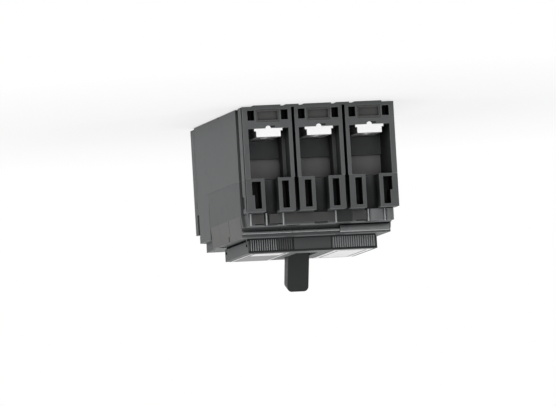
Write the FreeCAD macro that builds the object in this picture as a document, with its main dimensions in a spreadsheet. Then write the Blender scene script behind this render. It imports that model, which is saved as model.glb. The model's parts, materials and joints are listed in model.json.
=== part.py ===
"""Three-pole molded case circuit breaker, lying on its back.

X runs across the poles, Y along the case from the line end to the load end, and Z from the
mounting plane to the toggle. The origin is in the middle of the mounting plane.
"""
import FreeCAD, Part
import math
import os
import re
import Sketcher

doc = FreeCAD.newDocument("circuit_breaker")
sizes = doc.addObject("Spreadsheet::Sheet", "Sizes")

DRIVING = {
    # Case
    "case_width": 81.0,
    "case_length": 137.0,
    "pole_pitch": 27.0,
    "foot_height": 0.6,
    "parting_height": 38.2,
    "tower_top": 55.7,
    "shoulder_top": 62.4,
    "deck_top": 67.4,
    "nose_top": 75.0,
    "load_strip_top": 57.5,
    "side_wall": 2.2,
    "floor_wall": 2.6,
    "roof_wall": 2.4,
    "web_wall": 2.4,
    "groove_depth": 1.6,
    "groove_start": 18.0,
    "rib_start": 10.8,
    "rib_end": 3.5,
    "end_rib": 0.8,
    "rib_notch_low": 47.0,
    "rib_notch_high": 53.5,
    "rib_notch_length": 4.3,
    "rib_notch_depth": 1.2,
    "load_strip": 9.5,
    "strip_rise": 0.8,
    "strip_slot_length": 4.6,
    "strip_slot_overlap": 1.0,
    "strip_line": 0.5,
    "strip_pitch": 2.7,
    "foot_width": 14.4,
    "web_foot_width": 6.8,
    "foot_length": 16.0,
    "seam_gap": 0.1,
    "seat_gap": 0.02,
    "side_draft": 0.7,
    "deck_lip": 2.0,
    "slide_gap": 0.3,
    # Terminal compartments
    "pocket_width": 21.6,
    "pocket_depth": 25.0,
    "barrier_width": 1.6,
    "barrier_depth": 12.5,
    "shelf_top": 12.2,
    "shelf_thickness": 3.2,
    "pip_radius": 1.5,
    "key_hole_width": 3.7,
    "key_hole_low": 2.6,
    "key_hole_top": 7.9,
    "key_hole_depth": 8.0,
    "key_rib": 0.8,
    "tower_width": 8.6,
    "tower_length": 13.0,
    "tower_slot_width": 3.7,
    "tower_slot_inset": 1.9,
    "tower_slot_margin": 1.6,
    "tower_slot_depth": 9.0,
    "shoulder_setback": 7.5,
    "deck_setback": 20.9,
    "driver_channel": 7.4,
    # Mounting
    "mount_hole_radius": 2.2,
    "mount_boss_radius": 4.4,
    "mount_spacing": 106.0,
    "mount_access_radius": 4.2,
    # Current path
    "bar_width": 13.0,
    "bar_thickness": 4.4,
    "bar_shy": 0.3,
    "bar_hole_radius": 3.3,
    "bar_hole_inset": 8.4,
    "bar_ear": 1.0,
    "nut_size": 10.0,
    "nut_thickness": 4.6,
    "nut_thread_radius": 2.6,
    "carrier_low": 2.2,
    "carrier_width": 12.4,
    "carrier_length": 15.0,
    "tip_thickness": 1.4,
    "tip_width": 6.0,
    "tip_length": 5.0,
    "tip_y": -16.5,
    "bar_end_y": -12.0,
    "bimetal_y": 32.0,
    # Contact shaft and arms
    "shaft_y": 10.0,
    "shaft_z": 17.6,
    "shaft_radius": 5.2,
    "rotor_radius": 7.4,
    "rotor_width": 13.0,
    "arm_width": 4.6,
    "arm_low": 1.85,
    "arm_tail": 6.0,
    "arm_pin_y": 3.0,
    "arm_pin_z": 3.95,
    "contact_wire": 0.35,
    "contact_turns": 2,
    "arm_slot_half": 5.6,
    "link_relief": 1.5,
    "braid_start_y": 18.2,
    "braid_start_z": 17.4,
    "braid_sag": 1.2,
    "braid_thickness": 1.4,
    "braid_width": 7.0,
    "crank_spread": 7.3,
    "crank_reach": 9.5,
    "crank_angle": 120.0,
    "arm_height": 4.2,
    "arm_pin_radius": 1.5,
    "open_angle": 26.0,
    # Arc chamber
    "vent_low": 26.4,
    "vent_gap": 1.2,
    "vent_thickness": 1.0,
    "plate_count": 8,
    "plate_thickness": 1.0,
    "plate_pitch": 2.4,
    "fibre_wall": 0.8,
    "chute_width": 18.4,
    "chute_low": 19.0,
    "chute_high_y": -13.0,
    "notch_end_y": -25.0,
    "plate_notch": 2.4,
    # Toggle and mechanism
    "toggle_y": -5.6,
    "toggle_z": 46.0,
    "toggle_tilt": 20.5,
    "toggle_width": 11.4,
    "toggle_thickness": 7.8,
    "toggle_tip": 93.5,
    "toggle_corner": 2.5,
    "toggle_reach": 15.8,
    "frame_plate": 1.2,
    "frame_spacing": 18.8,
    "frame_low_y": -12.0,
    "frame_high_y": 21.0,
    "frame_top": 55.0,
    "stud_radius": 1.8,
    "yoke_top": 19.2,
    "yoke_tab": 6.0,
    "yoke_room": 1.9,
    "shield_radius": 19.8,
    "shield_wall": 1.6,
    "shield_angle": 48.0,
    "cradle_y": -9.0,
    "cradle_z": 50.0,
    "nose_tip_y": 17.2,
    "latch_hook_z": 48.0,
    "latch_y": 18.2,
    "latch_z": 37.0,
    "latch_width": 8.0,
    "latch_boss": 2.8,
    "latch_grip": 0.4,
    "reset_travel": 1.2,
    "link_pin_y": 6.0,
    "link_pin_z": 49.0,
    "knee_y": -0.86,
    "knee_z": 38.55,
    "lower_spread": 5.9,
    "upper_spread": 4.5,
    "link_waist": 1.6,
    "link_rim": 1.1,
    "link_play": 0.9,
    "spring_radius": 1.2,
    "spring_wire": 0.35,
    "spring_spread": 1.9,
    "spring_turns": 8,
    "pin_radius": 1.5,
    "pin_gap": 0.05,
    # Nose
    "nose_width": 69.2,
    "nose_low_y": -36.0,
    "nose_high_y": 24.2,
    "centre_panel": 20.0,
    "nose_wall": 1.8,
    "rib_pitch": 1.2,
    "rib_depth": 0.5,
    "label_thickness": 0.25,
    "label_margin": 2.0,
    # Load section
    "joint_y": 30.9,
    "load_deck_end": 57.5,
    "bimetal_width": 8.6,
    "bimetal_thickness": 1.2,
    "magnet_width": 13.6,
    "magnet_plate": 1.5,
    "magnet_y": 28.6,
    "magnet_reach": 6.0,
    "magnet_low": 20.0,
    "magnet_high": 33.0,
    "armature_y": 36.4,
    "armature_z": 18.6,
    "armature_top": 36.4,
    "armature_thickness": 1.2,
    "armature_pin": 0.8,
    "trip_bar_y": 26.0,
    "trip_bar_z": 33.0,
    "trip_bar_radius": 2.4,
    "trip_bar_half": 37.5,
    "button_x": 6.4,
    "button_y": 21.3,
    "button_radius": 1.9,
    "rod_radius": 1.15,
    "rod_foot": 36.0,
    "cap_low": 72.2,
    "seat_shelf": 69.5,
    "button_wire": 0.25,
    "button_turns": 3,
    "guide_radius": 2.8,
    # Fasteners and hinges
    "screw_line_y": 42.3,
    "screw_side_x": 35.5,
    "screw_side_y": 20.5,
    "screw_radius": 1.5,
    "screw_head_radius": 2.9,
    "screw_head": 2.2,
    "screw_slot": 0.8,
    "screw_seat": 63.0,
    "screw_foot": 22.0,
    "screw_boss": 2.7,
    "hinge_rise": 1.8,
    "hinge_inset": 1.2,
    "hinge_ear": 1.15,
    "hinge_pin": 0.7,
    "hinge_notch": 3.6,
    "deck_overhang": 0.8,
    "accessory_floor": 51.0,
    "bay_margin": 1.0,
}


def fill_sheet():
    for row, (name, number) in enumerate(DRIVING.items(), start=1):
        sizes.set("A%d" % row, name)
        sizes.set("B%d" % row, str(number))
        sizes.setAlias("B%d" % row, name)
    doc.recompute()


fill_sheet()

WORD = re.compile(r"[A-Za-z_][A-Za-z_0-9]*")


def bound(text):
    """An expression in plain size names, written for the sheet's own names."""
    return WORD.sub(lambda found: "Sizes." + found.group() if found.group() in DRIVING
                    else found.group(), str(text))


def size(text):
    return float(sizes.evalExpression(bound(text)))


def new_body(label):
    body = doc.addObject("PartDesign::Body", label)
    body.Label = label
    body.AllowCompound = True
    return body


PLANES = {"X": "YZ_Plane", "Y": "XZ_Plane", "Z": "XY_Plane"}


def origin_plane(body, axis):
    return next(item for item in body.Origin.OriginFeatures if item.Role == PLANES[axis])


def new_sketch(body, axis, place):
    """A sketch square to an axis, with its plane at the given place along that axis."""
    sketch = body.newObject("Sketcher::SketchObject", body.Name + "_outline")
    sketch.AttachmentSupport = [(origin_plane(body, axis), "")]
    sketch.MapMode = "FlatFace"
    along = "-(%s)" % place if axis == "Y" else str(place)
    sketch.setExpression("AttachmentOffset.Base.z", bound(along))
    return sketch


def pinned(geometry, end, first, second):
    """The constraints, each with its size, that hold a point at two coordinates."""
    held = []
    for kind, text, axis_line in (("DistanceX", first, -2), ("DistanceY", second, -1)):
        number = size(text)
        if abs(number) < 1e-9:
            held.append((Sketcher.Constraint("PointOnObject", geometry, end, axis_line), None))
        else:
            held.append((Sketcher.Constraint(kind, -1, 1, geometry, end, number), text))
    return held


def hold(sketch, held):
    """Adds constraints in one step, then ties each to its size."""
    first = sketch.ConstraintCount
    sketch.addConstraint([constraint for constraint, text in held])
    for index, (constraint, text) in enumerate(held, start=first):
        if text is not None:
            sketch.setExpression("Constraints[%d]" % index, bound(text))


def draw_loop(sketch, points):
    """A closed outline of straight edges through points given as pairs of sizes."""
    corners = [FreeCAD.Vector(size(first), size(second), 0) for first, second in points]
    start = sketch.GeometryCount
    count = len(corners)
    sketch.addGeometry([Part.LineSegment(corner, corners[(index + 1) % count])
                        for index, corner in enumerate(corners)])
    held = []
    for index in range(count):
        here = start + index
        following = start + (index + 1) % count
        held.append((Sketcher.Constraint("Coincident", here, 2, following, 1), None))
        held += pinned(here, 1, *points[index])
    hold(sketch, held)


def draw_circle(sketch, first, second, radius):
    centre = FreeCAD.Vector(size(first), size(second), 0)
    circle = sketch.addGeometry(Part.Circle(centre, FreeCAD.Vector(0, 0, 1), size(radius)))
    held = pinned(circle, 3, first, second)
    held.append((Sketcher.Constraint("Radius", circle, size(radius)), radius))
    hold(sketch, held)


def rectangle(low_first, high_first, low_second, high_second):
    return [(low_first, low_second), (high_first, low_second),
            (high_first, high_second), (low_first, high_second)]


def extrude(body, kind, axis, low, high, loops=(), circles=()):
    """Pads or pockets closed outlines between two places along an axis."""
    from_high = (axis == "Y") == (kind == "Pad")
    sketch = new_sketch(body, axis, high if from_high else low)
    for points in loops:
        draw_loop(sketch, points)
    for circle in circles:
        draw_circle(sketch, *circle)
    feature = body.newObject("PartDesign::" + kind, body.Name + "_" + kind.lower())
    feature.Profile = sketch
    feature.setExpression("Length", bound("(%s) - (%s)" % (high, low)))
    sketch.Visibility = False
    return feature


def pad(body, axis, low, high, loops=(), circles=()):
    return extrude(body, "Pad", axis, low, high, loops, circles)


def pocket(body, axis, low, high, loops=(), circles=()):
    return extrude(body, "Pocket", axis, low, high, loops, circles)


POLES = (-1, 0, 1)
ENDS = {"line": -1, "load": 1}


def across(pole, offset):
    """A place across the case, measured from a pole's middle."""
    return "pole_pitch * (%d) + (%s)" % (pole, offset)


def along(end, inset):
    """A place along the case, measured inwards from one of its ends."""
    return "(%d) * (case_length / 2 - (%s))" % (ENDS[end], inset)


def span(end, near, far):
    """Two places along the case in rising order, from insets out of one end."""
    places = (along(end, near), along(end, far))
    return places if end == "line" else places[::-1]


def slab(body, low_x, high_x, low_y, high_y, low_z, high_z):
    return pad(body, "Z", low_z, high_z, [rectangle(low_x, high_x, low_y, high_y)])


def cut_box(body, low_x, high_x, low_y, high_y, low_z, high_z):
    return pocket(body, "Z", low_z, high_z, [rectangle(low_x, high_x, low_y, high_y)])


def cut_pole_boxes(body, half, low_y, high_y, low_z, high_z, poles=POLES):
    """The same rectangular hollow in each pole."""
    loops = [rectangle(across(pole, "-(%s)" % half), across(pole, half), low_y, high_y)
             for pole in poles]
    return pocket(body, "Z", low_z, high_z, loops)


def chamber_loops(low_y, high_y, margin="0"):
    """Each pole's inner hollow between its two walls."""
    loops = []
    for pole in POLES:
        low = across(pole, "-(%s) + %s" % (CHAMBER_HALF, margin))
        high = across(pole, "%s - (%s)" % (CHAMBER_HALF, margin))
        if pole == -1:
            low = "-(%s)" % INNER_HALF
        if pole == 1:
            high = INNER_HALF
        loops.append(rectangle(low, high, low_y, high_y))
    return loops


def side_loops(end, near, far, depth):
    """Outlines that reach into both side faces, between two insets from an end."""
    low_y, high_y = span(end, near, far)
    inner = "case_width / 2 - (%s)" % depth
    return [rectangle(inner, "case_width / 2 + 1", low_y, high_y),
            rectangle("-case_width / 2 - 1", "-(%s)" % inner, low_y, high_y)]


def cut_side_grooves(body, low_z, high_z):
    """The upright grooves at the line end, which leave a rib and the end face's thin edge."""
    pocket(body, "Z", low_z, high_z, side_loops("line", "rib_start", "groove_start", "groove_depth")
           + side_loops("line", "end_rib", "rib_end", "groove_depth"))


def cut_strip_line(body, start, low_z, high_z):
    """One fine upright line in each side face, beside the strip at the load end."""
    pocket(body, "Z", low_z, high_z,
           side_loops("load", start, start + " + strip_line", "strip_line"))


def cut_strip_slot(body):
    """The slot across the upper end of the joint between the base's wall and the end strip."""
    pocket(body, "Z", "rib_notch_low", "load_strip_top + 1",
           side_loops("load", "load_strip + strip_slot_overlap - strip_slot_length",
                      "load_strip + strip_slot_overlap", "groove_depth"))


LINE_END = along("line", "0")
LOAD_END = along("load", "0")
POCKET_HALF = "pocket_width / 2"
BAR_TOP = "shelf_top + bar_thickness"
CHAMBER_HALF = "pole_pitch / 2 - web_wall / 2"
INNER_HALF = "case_width / 2 - side_wall"


def barrier_slots(body, low_z, high_z):
    """The open slots between neighbouring poles at both ends."""
    for end in ENDS:
        near, far = span(end, "-1", "barrier_depth")
        loops = [rectangle("pole_pitch * (%s) - barrier_width / 2" % side,
                           "pole_pitch * (%s) + barrier_width / 2" % side, near, far)
                 for side in (-0.5, 0.5)]
        pocket(body, "Z", low_z, high_z, loops)


def squares(circles):
    """Square outlines as wide as the given circles."""
    return [rectangle("(%s) - (%s)" % (x, half), "(%s) + (%s)" % (x, half),
                      "(%s) - (%s)" % (y, half), "(%s) + (%s)" % (y, half))
            for x, y, half in circles]


def mount_circles(radius):
    return [("pole_pitch * (%s)" % side, "(%d) * mount_spacing / 2" % end, radius)
            for side in (-0.5, 0.5) for end in (-1, 1)]


def make_base_case():
    """The moulded base: floor, side walls, pole walls, terminal pockets and feet."""
    body = new_body("base_case")
    slab(body, "-case_width / 2", "case_width / 2", LINE_END, LOAD_END, "foot_height",
         "parting_height")
    cut_side_grooves(body, "0", "parting_height + 1")
    for start in ("load_strip", "load_strip - strip_pitch"):
        cut_strip_line(body, start, "0", "parting_height + 1")
    pocket(body, "Z", "0", "foot_height + strip_rise",
           side_loops("load", "-1", "load_strip", "side_wall"))
    add_feet(body)
    add_load_walls(body)
    pocket(body, "Z", "shelf_top", "parting_height + 1",
           chamber_loops(along("line", "pocket_depth + web_wall"), "bar_end_y + 4"))
    pocket(body, "Z", CHAMBER_FLOOR, "parting_height + 1",
           chamber_loops("bar_end_y + 3.9", "joint_y - 2"))
    pocket(body, "Z", "shelf_top", "parting_height + 1",
           chamber_loops("joint_y - 2.1", along("load", "pocket_depth + web_wall")))
    for end in ENDS:
        near, far = span(end, "-1", "pocket_depth")
        cut_pole_boxes(body, POCKET_HALF, near, far, "shelf_top", "parting_height + 1")
        cut_terminal_hollows(body, end)
        near, far = span(end, "pocket_depth - 1", "pocket_depth + web_wall + 1")
        cut_pole_boxes(body, "bar_width / 2 + seam_gap", near, far, "shelf_top",
                       "shelf_top + bar_thickness + bar_shy")
    near, far = span("line", "pocket_depth - 1", "pocket_depth + web_wall + 1")
    cut_pole_boxes(body, POCKET_HALF, near, far, "vent_low", "parting_height + 1")
    barrier_slots(body, "foot_height + 0.8", "parting_height + 1")
    add_mount_bosses(body)
    add_screw_bosses(body)
    cut_saddles(body, "shaft_y", "shaft_z", "shaft_radius + slide_gap")
    cut_saddles(body, "trip_bar_y", "trip_bar_z", "trip_bar_radius + slide_gap")
    return body


CHAMBER_FLOOR = "foot_height + floor_wall"


def add_feet(body):
    """Low pads under each pole and web, on which the case rests."""
    for end in ENDS:
        near, far = span(end, "0", "foot_length")
        loops = [rectangle(across(pole, "-foot_width / 2"), across(pole, "foot_width / 2"),
                           near, far) for pole in POLES]
        pad(body, "Z", "0", "foot_height + 0.2", loops)
        middles = ["pole_pitch * (%s)" % side for side in (-0.5, 0.5)]
        loops = [rectangle(middle + " - web_foot_width / 2", middle + " + web_foot_width / 2",
                           near, far) for middle in middles]
        pad(body, "Z", "0", "foot_height + 0.2", loops)


def add_load_walls(body):
    """The side walls that rise past the parting line beside the load section."""
    for low_x, high_x in (("-case_width / 2", "-(%s)" % INNER_HALF),
                          (INNER_HALF, "case_width / 2")):
        slab(body, low_x, high_x, "joint_y", along("load", "load_strip"), "parting_height - 1",
             "shoulder_top")
    cut_strip_slot(body)


def cut_terminal_hollows(body, end):
    """The nut carrier's slot, the two key holes beside it and the nut's seat in the shelf."""
    near, far = span(end, "-1", "carrier_length")
    cut_pole_boxes(body, "carrier_width / 2 + seam_gap", near, far, "carrier_low",
                   "shelf_top - shelf_thickness")
    near, far = span(end, "-1", "key_hole_depth")
    loops = []
    for pole in POLES:
        inner = "carrier_width / 2 + seam_gap + key_rib"
        outer = inner + " + key_hole_width"
        loops.append(rectangle(across(pole, inner), across(pole, outer), near, far))
        loops.append(rectangle(across(pole, "-(%s)" % outer), across(pole, "-(%s)" % inner),
                               near, far))
    pocket(body, "Z", "key_hole_low", "key_hole_top", loops)
    near, far = span(end, "-1", "pip_radius")
    pocket(body, "Y", near, far,
           circles=[(across(pole, "0"), "shelf_top", "pip_radius") for pole in POLES])
    centre = along(end, "bar_hole_inset")
    half = "nut_size / 2 + seam_gap"
    cut_pole_boxes(body, half, "(%s) - (%s)" % (centre, half), "(%s) + (%s)" % (centre, half),
                   "shelf_top - shelf_thickness - 0.5", "shelf_top + 0.1")


def add_mount_bosses(body):
    """Square columns between the poles, each with a through hole for a mounting screw."""
    pad(body, "Z", "foot_height", "parting_height",
        squares(mount_circles("mount_boss_radius")))
    pocket(body, "Z", "-1", "parting_height + 1", circles=mount_circles("mount_hole_radius"))


def cut_saddles(body, y, z, radius):
    """Notches through the two pole walls, open to the top, where a cross shaft lies."""
    for side in (-0.5, 0.5):
        middle = "pole_pitch * (%s)" % side
        low = middle + " - web_wall"
        high = middle + " + web_wall"
        pocket(body, "X", low, high, [rectangle("%s - (%s)" % (y, radius), "%s + %s" % (y, radius),
                                                z, "parting_height + 1")])
        pocket(body, "X", low, high, circles=[(y, z, radius)])


def tower_loops(end_inset_near, end_inset_far, end, grow, poles=POLES):
    """Both towers of every pole, seen from the front, each grown or shrunk by a margin."""
    near, far = span(end, end_inset_near, end_inset_far)
    inner = "driver_channel / 2 - (%s)" % grow
    outer = "driver_channel / 2 + tower_width + (%s)" % grow
    loops = []
    for pole in poles:
        loops.append(rectangle(across(pole, inner), across(pole, outer), near, far))
        loops.append(rectangle(across(pole, "-(%s)" % outer), across(pole, "-(%s)" % inner),
                               near, far))
    return loops


def add_towers(body, end, top):
    """The hollow posts beside each screwdriver channel, with their slots open at the end."""
    pad(body, "Z", "parting_height", top, tower_loops("0", "tower_length", end, "0"))
    near, far = span(end, "-1", "tower_slot_depth")
    low = "parting_height + tower_slot_margin"
    high = "(%s) - tower_slot_margin" % top
    inner = "driver_channel / 2 + tower_slot_inset"
    outer = inner + " + tower_slot_width"
    loops = []
    for pole in POLES:
        for first, second in ((inner, outer), ("-(%s)" % outer, "-(%s)" % inner)):
            loops.append(rectangle(across(pole, first), across(pole, second), low, high))
    pocket(body, "Y", near, far, loops)
    middle = "(%s + %s) / 2" % (low, high)
    edges = [(outer, outer + " + 1.2"), ("-(%s) - 1.2" % outer, "-(%s)" % outer)]
    widened = [rectangle(across(pole, first), across(pole, second), middle, high)
               for pole, (first, second) in ((1, edges[0]), (-1, edges[1]))]
    pocket(body, "Y", near, far, [[(x, "parting_height + (%s) - (%s)" % (top, z))
                                   for x, z in loop] for loop in widened])


def cut_driver_channels(body, end, low_z, high_z):
    """Round-backed channels through which the terminal screws are reached."""
    near, far = span(end, "-1", "bar_hole_inset")
    loops = [rectangle(across(pole, "-driver_channel / 2"), across(pole, "driver_channel / 2"),
                       near, far) for pole in POLES]
    pocket(body, "Z", low_z, high_z, loops)
    pocket(body, "Z", low_z, high_z,
           circles=[(across(pole, "0"), along(end, "bar_hole_inset"), "driver_channel / 2")
                    for pole in POLES])


def add_end_walls(body, end, depth, top):
    """The side walls beside the outer towers, out to the full width of the case."""
    near, far = span(end, "0", depth)
    inner = across(1, "driver_channel / 2 + tower_width - 1")
    for low_x, high_x in ((inner, "case_width / 2"), ("-case_width / 2", "-(%s)" % inner)):
        slab(body, low_x, high_x, near, far, "parting_height + seam_gap", top)


SKIRT_HALF = "case_width / 2"
DRAFTED_HALF = "case_width / 2 - side_draft"


def make_main_cover():
    """The moulded cover over the poles and the mechanism, from the line end to the joint."""
    body = new_body("main_cover")
    low_y = along("line", "shoulder_setback")
    slim = "case_width / 2 - groove_depth"
    high_y = "joint_y - seam_gap"
    slab(body, "-(%s)" % SKIRT_HALF, SKIRT_HALF, low_y, high_y, "parting_height + seam_gap",
         "tower_top")
    add_end_walls(body, "line", "shoulder_setback + 0.1", "tower_top")
    pad(body, "Y", along("line", "deck_setback"), high_y, [[
        ("-(%s)" % SKIRT_HALF, "tower_top - 0.01"), (SKIRT_HALF, "tower_top - 0.01"),
        (DRAFTED_HALF, "deck_top - deck_lip"), ("-(%s)" % DRAFTED_HALF, "deck_top - deck_lip")]])
    pad(body, "Y", low_y, along("line", "deck_setback"), [[
        ("-(%s)" % slim, "tower_top - 0.01"), (slim, "tower_top - 0.01"),
        (slim + " - side_draft", "shoulder_top"), ("-(%s - side_draft)" % slim, "shoulder_top")]])
    pad(body, "Y", along("line", "groove_start"), along("line", "deck_setback"), [[
        ("-(%s)" % SKIRT_HALF, "tower_top - 0.01"), (SKIRT_HALF, "tower_top - 0.01"),
        (DRAFTED_HALF, "shoulder_top"), ("-(%s)" % DRAFTED_HALF, "shoulder_top")]])
    add_towers(body, "line", "tower_top")
    cut_side_grooves(body, "parting_height - 1", "tower_top")
    pocket(body, "Z", "rib_notch_low", "rib_notch_high",
           side_loops("line", "rib_start - rib_notch_length", "rib_start", "rib_notch_depth"))
    cut_driver_channels(body, "line", "parting_height - 1", "deck_top")
    barrier_slots(body, "parting_height - 1", "tower_top")
    slab(body, "-(%s)" % DRAFTED_HALF, DRAFTED_HALF,
         along("line", "deck_setback + deck_overhang"), high_y, "deck_top - deck_lip - 0.01",
         "deck_top")
    inner_low = along("line", "pocket_depth + web_wall")
    cut_box(body, "-(%s)" % CHAMBER_HALF, CHAMBER_HALF, inner_low, "joint_y - web_wall",
            "parting_height - 1", "deck_top - deck_lip - roof_wall")
    loops = chamber_loops(inner_low, "joint_y - web_wall")
    pocket(body, "Z", "parting_height - 1", "accessory_floor - roof_wall", [loops[0], loops[2]])
    add_accessory_bays(body)
    pad(body, "Z", "parting_height + seam_gap", "accessory_floor",
        squares(screw_circles(SCREW_SPOTS[2:4], "screw_boss")))
    add_hinge_ears(body)
    bore_screws(body, SCREW_SPOTS[:4])
    pocket(body, "Z", "parting_height - 1", "deck_top + 1",
           circles=[("pole_pitch * (%s)" % side, "-mount_spacing / 2", "mount_access_radius")
                    for side in (-0.5, 0.5)])
    cut_box(body, "-(centre_panel / 2 + slide_gap)", "centre_panel / 2 + slide_gap",
            "nose_low_y + nose_wall + 1", "nose_high_y - nose_wall + 0.6", "deck_top - 12",
            "deck_top + 1")
    half = "frame_spacing / 2 + frame_plate / 2 + yoke_room"
    reach = "yoke_top + frame_plate"
    cut_box(body, "-(%s)" % half, half, "toggle_y - " + reach, "toggle_y + " + reach,
            "deck_top - 12", "deck_top + 0.1")
    return body


def add_accessory_bays(body):
    """The two bays under the lids where a shunt trip or a signal switch would sit."""
    for side in (-1, 1):
        low = "centre_panel / 2 + bay_margin + 2"
        high = "nose_width / 2 - nose_wall - bay_margin"
        if side < 0:
            low, high = "-(%s)" % high, "-(%s)" % low
        cut_box(body, low, high, "nose_low_y + nose_wall + bay_margin + 3",
                "nose_high_y - nose_wall - bay_margin - 6", "accessory_floor", "deck_top + 1")


def make_load_cover():
    """The cover of the load section, over the trip unit and the load terminals."""
    body = new_body("load_cover")
    high_y = along("load", "shoulder_setback")
    inner = INNER_HALF + " - seam_gap"
    low_y = "joint_y + seam_gap"
    slab(body, "-(%s)" % inner, inner, low_y, high_y, "parting_height + seam_gap", "shoulder_top")
    add_end_walls(body, "load", "load_strip - seam_gap", "load_strip_top")
    pad(body, "Y", low_y, "load_deck_end", [[
        ("-(%s - side_draft)" % inner, "shoulder_top - 0.01"),
        ("%s - side_draft" % inner, "shoulder_top - 0.01"),
        (DRAFTED_HALF + " - side_wall", "deck_top"),
        ("-(%s - side_wall)" % DRAFTED_HALF, "deck_top")]])
    add_towers(body, "load", "load_strip_top")
    for low_x, high_x in (("-case_width / 2", "-(%s)" % inner), (inner, "case_width / 2")):
        cut_box(body, low_x, high_x, "joint_y", along("load", "load_strip - seam_gap"),
                "parting_height", "shoulder_top")
    cut_strip_line(body, "load_strip - strip_pitch", "parting_height", "load_strip_top + 1")
    cut_strip_slot(body)
    cut_driver_channels(body, "load", "parting_height - 1", "deck_top + 1")
    barrier_slots(body, "parting_height - 1", "load_strip_top")
    cut_box(body, "-(%s - web_wall)" % inner, "%s - web_wall" % inner, "joint_y + web_wall",
            along("load", "pocket_depth + web_wall"), "parting_height - 1",
            "deck_top - roof_wall")
    pocket(body, "Z", "parting_height - 1", "deck_top + 1",
           circles=[("pole_pitch * (%s)" % side, "mount_spacing / 2", "mount_access_radius")
                    for side in (-0.5, 0.5)])
    bore_screws(body, SCREW_SPOTS[4:])
    return body


def ribbed_front(body, low_x, high_x):
    """Fine upright grip ribs on the nose's line-end face."""
    count = int((size(high_x) - size(low_x)) / size("rib_pitch"))
    loops = []
    for index in range(count):
        left = "(%s) + rib_pitch * (%d + 0.5) - rib_pitch / 4" % (low_x, index)
        right = "(%s) + rib_pitch * (%d + 0.5) + rib_pitch / 4" % (low_x, index)
        loops.append(rectangle(left, right, "nose_low_y", "nose_low_y + rib_depth"))
    pocket(body, "Z", "deck_top + 0.6", "nose_top - 0.9", loops)


NOSE_HALF = "nose_width / 2"
PANEL_HALF = "centre_panel / 2"


def make_toggle_escutcheon():
    """The middle of the nose, with the slot that the toggle swings in."""
    body = new_body("toggle_escutcheon")
    slab(body, "-(%s)" % PANEL_HALF, PANEL_HALF, "nose_low_y", "nose_high_y",
         "deck_top + seam_gap", "nose_top")
    wall_low = "nose_low_y + nose_wall"
    wall_high = "nose_high_y - nose_wall"
    cut_box(body, "-(%s - nose_wall)" % PANEL_HALF, "%s - nose_wall" % PANEL_HALF,
            wall_low, wall_high, "deck_top - 1", "nose_top - roof_wall")
    cut_box(body, "-(toggle_width / 2 + slide_gap)", "toggle_width / 2 + slide_gap",
            "toggle_y - toggle_reach", "toggle_y + toggle_reach", "deck_top", "nose_top + 1")
    spot = ("button_x", "button_y")
    pad(body, "Z", "deck_top + seam_gap", "nose_top - 0.1", circles=[spot + ("guide_radius",)])
    pocket(body, "Z", "seat_shelf", "nose_top + 1", circles=[spot + ("button_radius + seam_gap",)])
    pocket(body, "Z", "deck_top - 1", "seat_shelf + 1", circles=[spot + ("rod_radius + seam_gap",)])
    return body


def make_lid(label, side):
    """One hinged accessory lid beside the escutcheon, ribbed at its end for a fingertip."""
    body = new_body(label)
    inner = "%s + seam_gap" % PANEL_HALF
    low_x, high_x = (inner, NOSE_HALF) if side > 0 else ("-(%s)" % NOSE_HALF, "-(%s)" % inner)
    slab(body, low_x, high_x, "nose_low_y", "nose_high_y", "deck_top + seam_gap", "nose_top")
    ribbed_front(body, low_x, high_x)
    cut_box(body, "(%s) + nose_wall" % low_x, "(%s) - nose_wall" % high_x,
            "nose_low_y + nose_wall", "nose_high_y - nose_wall", "deck_top - 1",
            "nose_top - roof_wall")
    add_hinge_pins(body, side)
    return body


def make_label(label, side):
    """A bare label plate stuck on a lid."""
    body = new_body(label)
    low, high = "%s + label_margin" % PANEL_HALF, "%s - label_margin" % NOSE_HALF
    if side < 0:
        low, high = "-(%s)" % high, "-(%s)" % low
    slab(body, low, high, "nose_low_y + label_margin", "nose_high_y - label_margin",
         "nose_top", "nose_top + label_thickness")
    return body


def make_terminal(label, end, pole):
    """A flat terminal bar with ears at its tip, a screw hole and a locating pip below."""
    body = new_body(label)
    near, far = span(end, "bar_shy", "case_length / 2 + (%s)" % (
        "bar_end_y" if end == "line" else "3 - bimetal_y"))
    low = "shelf_top + seat_gap"
    slab(body, across(pole, "-bar_width / 2"), across(pole, "bar_width / 2"), near, far,
         low, low + " + bar_thickness")
    near, far = span(end, "bar_shy", "bar_shy + 2.5")
    slab(body, across(pole, "-bar_width / 2 - bar_ear"), across(pole, "bar_width / 2 + bar_ear"),
         near, far, low, low + " + 1.3")
    near, far = span(end, "bar_shy", "pip_radius - seam_gap")
    pad(body, "Y", near, far, circles=[(across(pole, "0"), low, "pip_radius - seam_gap")])
    pocket(body, "Z", "shelf_top - 1", BAR_TOP + " + 1",
           circles=[(across(pole, "0"), along(end, "bar_hole_inset"), "bar_hole_radius")])
    return body


def make_fixed_contacts():
    """The silver tips on the line bars that the arms' tips close on."""
    body = new_body("fixed_contacts")
    low = "shelf_top + seat_gap + bar_thickness"
    loops = [rectangle(across(pole, "-tip_width / 2"), across(pole, "tip_width / 2"),
                       "tip_y - tip_length / 2", "tip_y + tip_length / 2") for pole in POLES]
    pad(body, "Z", low, low + " + tip_thickness", loops)
    return body


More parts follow.
